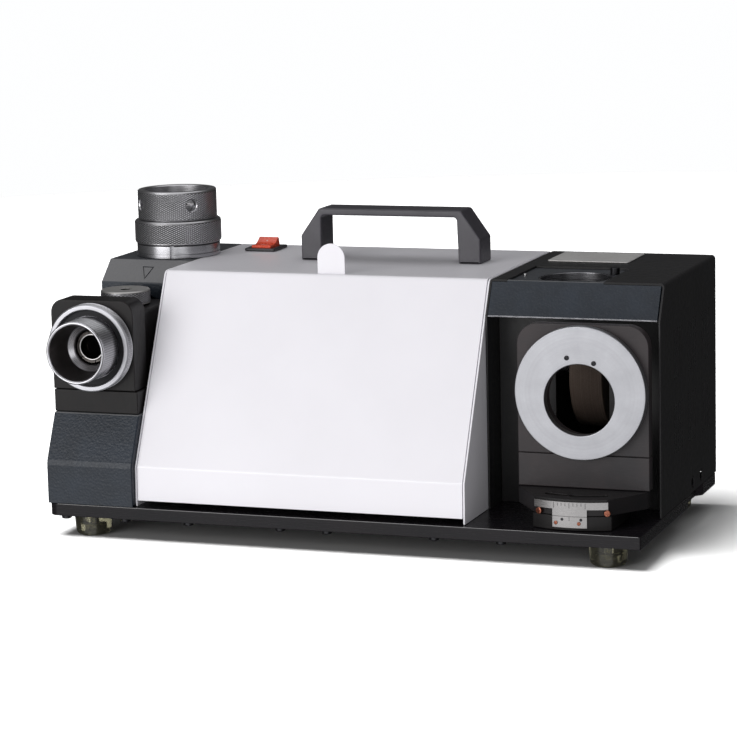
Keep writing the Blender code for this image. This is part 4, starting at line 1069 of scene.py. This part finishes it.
def housing_shell():
    """The left wall, top and right wall, bent from one sheet, with their cut-outs."""
    foot, x0, x1 = DECK + GAP, HOUSING_LEFT, HOUSING_RIGHT
    path = fillet([(x0, foot), (x0, TOP), (x1, TOP), (x1, foot)], [0, 2.2, 3.4, 0], 6, False)
    shell = plate(thicken(path, SHEET), "Y", BAY_FRONT, REAR, 0.35)
    before = BAY_FRONT - 1
    wedge = [(before, BEAM_LOW), (BAY_FRONT, BEAM_LOW), (BROW_Y + LEAN, TOP + 1), (before, TOP + 1)]
    cut(shell, plate(wedge, "X", x0 - 1, x1 + 1))
    cut(shell, plate(rectangle(*CUTOUT_X, BAY_FRONT, CUTOUT_REAR, 0.6), "Z", TOP - 4, TOP + 2))
    for row in VENT_ROWS:
        slots = []
        for group in VENT_GROUPS:
            for i in range(VENT_SLOTS):
                y = group + VENT_PITCH * i
                outline = rectangle(y, y + VENT_WIDTH, row, row + VENT_HEIGHT, 1.05, 4)
                slots.append(plate(outline, "X", x1 - 4, x1 + 2))
        cut(shell, join(*slots))
    drill(shell, *SHAFT, 20, x0 - 1, x0 + SHEET + 1, 48)
    for y in (168.0, 197.0):
        drill(shell, "X", (0, y, 18.0), 5.5, x1 - 4, x1 + 2, 40)
    skin(shell, "housing_shell", "frame", BLACK_SHEET)


def beam():
    (low, high), _, _ = span("front_beam")
    head = TOP - SHEET - GAP
    outline = [
        (BAY_FRONT, BEAM_LOW), (BROW_Y - 0.5, TOP - 0.4), (BROW_Y + 3, TOP - 0.2),
        (BROW_Y + 3, head), (CUTOUT_REAR + 3, head), (CUTOUT_REAR + 3, head - 6), (BROW_Y + 8, head - 6),
        (BAY_FRONT + 6.5, BEAM_LOW),
    ]
    outline = fillet(outline, [0.7, 0.7, 0.3, 0.3, 0.5, 0.5, 3, 0.5], 3)
    shape = plate(outline, "X", low, high, 0.3)
    for xs in ((low - 1, CUTOUT_X[0] + GAP), (CUTOUT_X[1] - GAP, high + 1)):
        cut(shape, block(xs, (BROW_Y - 2.5, BROW_Y + 9), (head, TOP + 1)))
    drill(shape, *PORT, 30.2, 172, 200, 96)
    drill(shape, "Z", (SCREW_X, SCREW_Y, 0), 2.4, 180, 200, 32)
    skin(shape, "front_beam", "frame", HAMMER)
    # painted highlight: a thin bright metal lip along the beam's lower front edge stands in for the highlight
    # line there
    lip = [(-0.25, -0.15), (0.3, 0.9), (6.4, 0.1), (6.3, -0.15)]
    lip = fillet([(BAY_FRONT + y, BEAM_LOW + z) for y, z in lip], 0.1, 1)
    dress(plate(lip, "X", low + 0.2, high - 0.2), "beam_edge_highlight", "frame",
          brushed_metal("edge_highlight_metal", (0.62, 0.62, 0.66), (1, 8, 8), 0.25))

    bush = lathe(fillet(tube(28.5, 29.9, 176, head), 0.35, 3), *PORT, 128)
    skin(bush, "port_bush", "frame",
          turned_metal("port_bush_steel", *PORT, (0.36, 0.36, 0.38), 0.26, 2200, 0.0))
    spot = (SCREW_X, SCREW_Y, 0)
    screw = screw_shape("Z", spot, 3.8, head + GAP, head + 6, "hex", 1)
    stem = lathe(tube(0, 2.1, head - 12, head + GAP), "Z", spot, 32)
    skin(join(screw, stem), "port_screw", "lock_screw", BLACK_SCREW)
    pin = fillet(tube(0, 1.6, head + 0.05, head + 1.6), [0, 0.6, 0, 0], 3, False)
    dress(lathe(pin, "Z", (375.6, 116.3, 0), 24), "port_pin", "frame", SCREW_STEEL)
    (x0, x1), (y0, y1), (z0, z1) = span("label_plate")
    label = plate(rectangle(x0, x1, y0, y1, 2.5, 5), "Z", z0, z1, 0.2)
    skin(label, "label_plate", "frame", LABEL_METAL)


def housing_inside():
    for node in ("rear_panel", "bay_back_wall"):
        coat(node, BLACK_SHEET)
    (x0, x1), (_, back), (z0, z1) = span("rear_panel")
    heads = [screw_shape("Y", (x, 0, z), 3.4, back + 0.05, back + 1.9, "cross", 1)
             for x in (x0 + 8, x1 - 8) for z in (z0 + 10, (z0 + z1) / 2, z1 - 10)]
    dress(join(*heads), "panel_screws", "frame", BLACK_SCREW)


# ---------------------------------------------------------------- right station

SECTOR_R, SWIVEL_LOW, SWIVEL_HIGH = 74.0, 22.0, 35.0
PLATE_HALF, PLATE_FRONT, PLATE_REAR = 53.0, 48.0, 58.0
STATION_STEP, STATION_TOP = 61.6, 164.7


def sector_outline(half_angle, shoulder, rear, tail=14):
    nose = arc((PIVOT_X, PIVOT_Y), SECTOR_R, 270 - half_angle, 270 + half_angle, 24)
    half = shoulder[0]
    return nose + [(PIVOT_X + half, shoulder[1]), (PIVOT_X + half, shoulder[2]), (PIVOT_X + tail, rear),
                   (PIVOT_X - tail, rear), (PIVOT_X - half, shoulder[2]), (PIVOT_X - half, shoulder[1])]


def bent_slot(radius, half_width, start, end):
    """A slot that follows an arc around the pivot, between two angles from the front."""
    centre = (PIVOT_X, PIVOT_Y)
    outer = arc(centre, radius + half_width, 270 + start, 270 + end, 12)
    inner = arc(centre, radius - half_width, 270 + end, 270 + start, 12)
    tips = []
    for angle, first in ((end, 270 + end), (start, 90 + start)):
        tip = (PIVOT_X + radius * sin(radians(angle)), PIVOT_Y - radius * cos(radians(angle)))
        tips.append(arc(tip, half_width, first, first + 180, 8)[1:-1])
    return outer + tips[0] + inner + tips[1]


def wrapped(outline, inner, outer, edge=0.0):
    """A flat outline in (degrees from the front, Z), wrapped around the pivot as a curved strip."""
    flat = plate([(radians(a) * outer, z) for a, z in outline], "Y", 0, outer - inner, edge, steps=1)
    bm = bmesh.new()
    bm.from_mesh(flat.data)
    bpy.data.objects.remove(flat, do_unlink=True)
    slices = 40
    reach = max(abs(v.co.x) for v in bm.verts)
    for i in range(1, slices):
        x = -reach + 2 * reach * i / slices
        geometry = bm.verts[:] + bm.edges[:] + bm.faces[:]
        bmesh.ops.bisect_plane(bm, geom=geometry, plane_co=(x, 0, 0), plane_no=(1, 0, 0))
    for vertex in bm.verts:
        angle, radius = vertex.co.x / outer, outer - vertex.co.y
        vertex.co = (PIVOT_X + radius * sin(angle), PIVOT_Y - radius * cos(angle), vertex.co.z)
    return from_bmesh(bm)


def station():
    fixed = sector_outline(25, (33, 30, 60), 94)
    pin_hole = circle(PIVOT_X, PIVOT_Y, 5.3, 32)
    shape = plate(fixed, "Z", DECK + GAP, SWIVEL_LOW - GAP, 0.5, [pin_hole])
    skin(shape, "fixed_sector", "frame", OXIDE_DARK)
    turning = sector_outline(24, (PLATE_HALF - 1, 45, 57), 91)
    slot_r = 60
    slots = [bent_slot(slot_r, 3.4, *ends) for ends in ((-21, -8), (-1, 22))]
    shape = plate(turning, "Z", SWIVEL_LOW, SWIVEL_HIGH, 0.6, [pin_hole, *slots])
    skin(shape, "swivel_sector", "station", OXIDE_SECTOR)
    heads = []
    for angle in (-13.9, 21.9):
        x = PIVOT_X + slot_r * sin(radians(angle))
        y = PIVOT_Y - slot_r * cos(radians(angle))
        heads.append(screw_shape("Z", (x, y, 0), 2.9, SWIVEL_LOW + 0.4, SWIVEL_HIGH - 2.2, "hex", 1))
    dress(join(*heads), "swivel_screws", "station",
          brushed_metal("dark_screw", (0.16, 0.155, 0.16), (1, 1, 1), 0.3))
    coat("pivot_pin", BRIGHT)

    inner, outer = SECTOR_R + 0.3, SECTOR_R + 1.5
    wide, narrow, top, step, low = 23.0, 10.5, 33, 27.3, 21.9
    outline = [
        (-wide, top), (-wide, step), (-narrow, step), (-narrow, low), (narrow, low), (narrow, step),
        (wide, step), (wide, top),
    ]
    skin(wrapped(outline, inner, outer), "scale_band", "station", SCALE_METAL)

    def stroke(angle, low, high):
        """A thin upright mark on the band."""
        half = 0.14
        return wrapped(rectangle(angle - half, angle + half, low, high), outer - 0.02, outer + 0.04)

    ticks = []
    for number in range(-4, 5):
        long = 2.6 if number % 4 else 4.4
        ticks.append(stroke(number * 2.4, 32.4 - long, 32.4))
    ink = powder_coat("tick_paint", (0.03, 0.03, 0.03), 0.6)
    dress(join(*ticks), "scale_ticks", "station", ink)
    foot_z, head_z = 12.9, 21.6
    lower = rectangle(-narrow, narrow, foot_z, head_z)
    skin(wrapped(lower, inner, outer), "pointer_plate", "frame", SCALE_METAL)
    dress(stroke(0, head_z - 3.2, head_z - 0.2), "pointer_mark", "frame", ink)

    def radial(angle, z, radius, depth, drive):
        """A small screw head that looks away from the pivot."""
        head = screw_shape("Y", (0, 0, 0), radius, 0.0, -depth, drive, -1)
        turn = Matrix.Translation((PIVOT_X, PIVOT_Y, z)) @ Matrix.Rotation(radians(angle), 4, "Z")
        return move(head, turn @ Matrix.Translation((0, -outer, 0)))

    for name, body, angles, shape, look in (
        ("pointer_screws", "frame", (-8.3, 5.8), (16.4, 1.5, 0.8, "cross"), COPPER_SCREW),
        ("pointer_dots", "frame", (-4.4, 7.0), (19.4, 1.15, 0.3, None), BLACK_SCREW),
        ("scale_screws", "station", (-19.2, 22.4), (24.6, 2.7, 1.9, "cross"), COPPER_SCREW),
    ):
        heads = [radial(angle, *shape) for angle in angles]
        dress(join(*heads), name, body, look)

    skin(block(*span("station_foot"), 0.7, 3), "station_foot", "station", OXIDE)
    outline = rectangle(PIVOT_X - PLATE_HALF, PIVOT_X + PLATE_HALF, STATION_STEP + GAP, STATION_TOP,
                        [0.6, 0.6, 17, 17], 12)
    shape = plate(outline, "Y", PLATE_FRONT, PLATE_REAR, 0.7, [circle(PIVOT_X, HOLE_Z, HOLE_R + 1.5, 96)])
    skin(shape, "station_plate", "station", OXIDE)

    ring_r, ring_front, ring_back = 52.7, 39.5, PLATE_FRONT - GAP
    ring = plate(circle(PIVOT_X, RING_Z, ring_r, 160), "Y", ring_front, ring_back, 0.8,
                 [circle(PIVOT_X - 0.5, HOLE_Z, HOLE_R, 112)], 3)
    skin(ring, "cam_ring", "station",
          face_turned_aluminium("cam_ring_aluminium", *CAM))
    pins = []
    for x, z in ((431.7, 139.6), (453.3, 136.0)):
        pins.append(screw_shape("Y", (x, 0, z), 1.9, ring_front + 0.3, ring_front - 1.1, "hex", -1))
    dress(join(*pins), "ring_pins", "station",
          brushed_metal("pin_steel", (0.03, 0.03, 0.032), (1, 1, 1), 0.3))


# ---------------------------------------------------------------- inside and back

def inside():
    for name, radius, edge, steps in (("grinding", 46, 1.2, 128), ("thinning", 27, 1.0, 96)):
        node = name + "_wheel"
        wheel = lathe(fillet(tube(6.4, radius, *span(node)[0]), [edge, edge, 0.3, 0.3], 3), *SHAFT, steps)
        skin(wheel, node, "rotor", abrasive(name + "_grain", *SHAFT))
    motor_r, bearing_r, ends = 56.0, 16.3, (120, 300)
    casing = lathe(fillet(tube(motor_r - 4, motor_r, *ends), [0.8, 0.8, 0.3, 0.3], 3), *SHAFT, 128)
    cradle = block((160, 260), (112, 188), (DECK + GAP, 64), 2, 3)
    drill(cradle, *SHAFT, motor_r - 0.5, *ends, 128)
    skin(join(casing, cradle), "motor_casing", "frame", CAST)
    for node in ("end_shield_left", "end_shield_right"):
        shield = fillet(tube(bearing_r, motor_r, *span(node)[0]), [2.0, 2.0, 0.4, 0.4], 4)
        skin(lathe(shield, *SHAFT, 128), node, "frame", CAST)
    for i in (1, 2, 3):
        node = f"spare_collet_{i}"
        xs, ys, (low, high) = span(node)
        bore, rim, seat = 4.0 + i, 13.0, 60.3
        collet = [(9, high), (rim, high - 4), (rim, seat), (9, seat), (9, low), (bore, low), (bore, high)]
        shape = lathe(fillet(collet, 0.5, 3), "Z", (sum(xs) / 2, sum(ys) / 2, 0), 64)
        skin(shape, node, "frame", BRIGHT)
    for node in (
        "bearing_left", "bearing_right", "motor_shaft", "wheel_nut_left", "wheel_nut_right", "door_pin",
    ):
        coat(node, BRIGHT)
    for node in ("cooling_fan", "run_capacitor", "terminal_block"):
        coat(node, GREY_PLASTIC)
    coat("stator", LAMINATIONS)
    coat("collet_rack", OXIDE)


def rear_fittings():
    back, front = 262.0, REAR + GAP
    axis = ("Y", (GLAND_X, 0, GLAND_Z))
    nut = lathe(fillet(tube(8.2, 10.9, front, front + 4), [0.6, 0.3, 0, 0], 2), *axis, 6)
    cap = [
        (5.4, back), (7.6, back - 1.6), (9.2, front + 4.4), (9.2, front + 4.1), (8.0, front + 0.1),
        (8.0, 238), (3.6, 238), (3.6, back - 0.6), (4.6, back),
    ]
    gland = join(nut, lathe(fillet(cap, 0.3, 2), *axis, 64))
    skin(gland, "cable_gland", "frame", PLASTIC)
    cap_r, barrel_r, tip, end = 7.0, 5.8, front + 7, 224
    fuse = [
        (0, tip), (cap_r - 0.8, tip), (cap_r, tip - 1), (cap_r, front), (barrel_r, front), (barrel_r, end),
        (0, end),
    ]
    fuse = fillet(fuse, [0, 0.8, 0.4, 0.3, 0.2, 0.2, 0], 3, False)
    cap = lathe(fuse, "Y", (FUSE_X, 0, GLAND_Z), 64)
    cut(cap, block((FUSE_X - 4, FUSE_X + 4), (front + 5.6, front + 8), (GLAND_Z - 0.6, GLAND_Z + 0.6)))
    skin(cap, "fuse_holder", "frame", PLASTIC)


# ---------------------------------------------------------------- stage

PANEL_LEFT, PANEL_RIGHT, PANEL_SOFT, CEILING = -44.0, 40.0, 7.0, 38.0     # angles, in degrees
PANEL_TOP = 0.30                              # sine of the height where the front panel ends
PANEL_LIGHT, CEILING_LIGHT, WALL_FRONT, WALL_BACK, FLOOR_GLOW = 1.0, 1.0, 0.14, 0.05, 0.08


def aim(obj, target):
    obj.rotation_euler = (Vector(target) - obj.location).to_track_quat("-Z", "Y").to_euler()


def softbox(name, location, target, size, power, tint):
    light = bpy.data.lights.new(name, "AREA")
    light.shape = "RECTANGLE"
    light.size, light.size_y = size
    light.energy = power
    light.color = tint
    obj = bpy.data.objects.new(name, light)
    obj.location = location
    bpy.context.scene.collection.objects.link(obj)
    aim(obj, target)


def only_on(light, obj):
    """Let a light shine on one object alone."""
    group = bpy.data.collections.new(light.name + "_receivers")
    group.objects.link(obj)
    light.light_linking.receiver_collection = group


def studio_floor():
    """Pale floor: only the camera sees it, and the studio's lower half lights the machine from below."""
    floor = lathe([(2600, 0), (0, 0)], "Z", (250, 120, 0), 64)
    floor.data.transform(Matrix.Scale(MM, 4))
    floor.name = "studio_floor"
    look = Look("floor_paper", (0.40, 0.40, 0.40), 0.9, Specular_IOR_Level=0.1)
    patches = look.spread(look.noise(3, 3), 0.3, 0.7)
    look.colour(look.blend(patches, (0.395, 0.395, 0.396), (0.405, 0.405, 0.405)))
    floor.data.materials.clear()
    floor.data.materials.append(look.material)
    floor.visible_glossy = False
    floor.visible_diffuse = False
    floor.visible_shadow = False
    sun = bpy.data.lights.new("floor_light", "SUN")
    sun.energy = 11.0
    sun.angle = radians(38)
    lamp = bpy.data.objects.new("floor_light", sun)
    lamp.location = (-0.60, -0.35, 1.8)
    bpy.context.scene.collection.objects.link(lamp)
    aim(lamp, (0, 0, 0))
    only_on(lamp, floor)


def studio_walls():
    """White to the camera; to the machine a bright panel in front, and dim elsewhere."""
    world = bpy.data.worlds.new("studio")
    bpy.context.scene.world = world
    world.use_nodes = True
    tree = world.node_tree

    def node(kind, operation=None, *values):
        made = tree.nodes.new(kind)
        if operation:
            made.operation = operation
        for socket, value in zip(made.inputs, values):
            if isinstance(value, bpy.types.NodeSocket):
                tree.links.new(value, socket)
            else:
                socket.default_value = value
        return made

    def math(operation, *values):
        return node("ShaderNodeMath", operation, *values).outputs[0]

    def ramp(value, low, high, to_low=0.0, to_high=1.0):
        made = node("ShaderNodeMapRange", None, value, low, high, to_low, to_high)
        made.interpolation_type = "SMOOTHSTEP"
        return made.outputs[0]

    direction = node("ShaderNodeTexCoord").outputs["Generated"]
    x, y, z = node("ShaderNodeSeparateXYZ", None, direction).outputs
    bearing = math("ARCTAN2", x, math("MULTIPLY", y, -1.0))       # 0 in front, growing to the right
    soft = radians(PANEL_SOFT)
    left, right = radians(PANEL_LEFT), radians(PANEL_RIGHT)
    left_edge = ramp(bearing, left - soft, left + soft)
    right_edge = ramp(bearing, right - soft, right + soft, 1.0, 0.0)
    top_edge = ramp(z, PANEL_TOP - 0.1, PANEL_TOP + 0.1, 1.0, 0.0)
    panel = math("MULTIPLY", math("MULTIPLY", left_edge, right_edge), top_edge)
    front = ramp(y, -0.9, 0.6, 1.0, 0.0)
    below = ramp(z, -0.35, 0.05, 1.0, 0.0)
    around = math("ADD", math("MULTIPLY", front, WALL_FRONT - WALL_BACK), WALL_BACK)
    around = math("ADD", around, math("MULTIPLY", math("MULTIPLY", below, front), FLOOR_GLOW))
    light = math("ADD", around, math("MULTIPLY", panel, PANEL_LIGHT))
    ceiling = ramp(z, sin(radians(90 - CEILING - PANEL_SOFT)), sin(radians(90 - CEILING + PANEL_SOFT)))
    light = math("ADD", light, math("MULTIPLY", ceiling, CEILING_LIGHT))
    seen = node("ShaderNodeLightPath").outputs["Is Camera Ray"]
    background = tree.nodes["Background"]
    tree.links.new(math("ADD", math("MULTIPLY", light, math("SUBTRACT", 1.0, seen)), seen),
                   background.inputs["Strength"])
    background.inputs["Color"].default_value = (0.99, 0.995, 1.0, 1)


def stage():
    studio_floor()
    studio_walls()
    middle = (0, 0, 0.1)
    softbox("key", (-1.2, -2.4, 0.8), middle, (1.8, 1.6), 36, (1.0, 0.99, 0.98))
    softbox("fill", (1.5, -2.2, 0.7), middle, (1.4, 1.2), 6, (1.0, 1.0, 1.0))
    bpy.context.scene.view_settings.view_transform = "Standard"


def camera():
    """The photographer's place, as angles round the machine."""
    turn, tilt, roll = radians(20.27), radians(9.89), radians(-1.38)
    back = Vector((sin(turn) * cos(tilt), -cos(turn) * cos(tilt), sin(tilt)))
    side = Vector((cos(turn), sin(turn), 0))
    up = side.cross(-back)
    across = side * cos(roll) + up * sin(roll)
    over = up * cos(roll) - side * sin(roll)
    data = bpy.data.cameras.new("camera")
    data.sensor_width = 36
    data.lens = 142.2
    data.clip_end = 60
    obj = bpy.data.objects.new("camera", data)
    bpy.context.scene.collection.objects.link(obj)
    place = Matrix.Translation((0.8065, -2.21855, 0.5394))
    obj.matrix_world = place @ Matrix((across, over, back)).transposed().to_4x4()
    bpy.context.scene.camera = obj


def main():
    camera()
    for build in (
        base, feet, head_casting, bracket, clamp_wheel, left_chuck, setting_sleeve, top_chuck, hood_sides,
        front_door, hood_shell, handle, rocker_switch, housing_shell, beam, housing_inside, station, inside,
        rear_fittings, stage,
    ):
        build()


main()
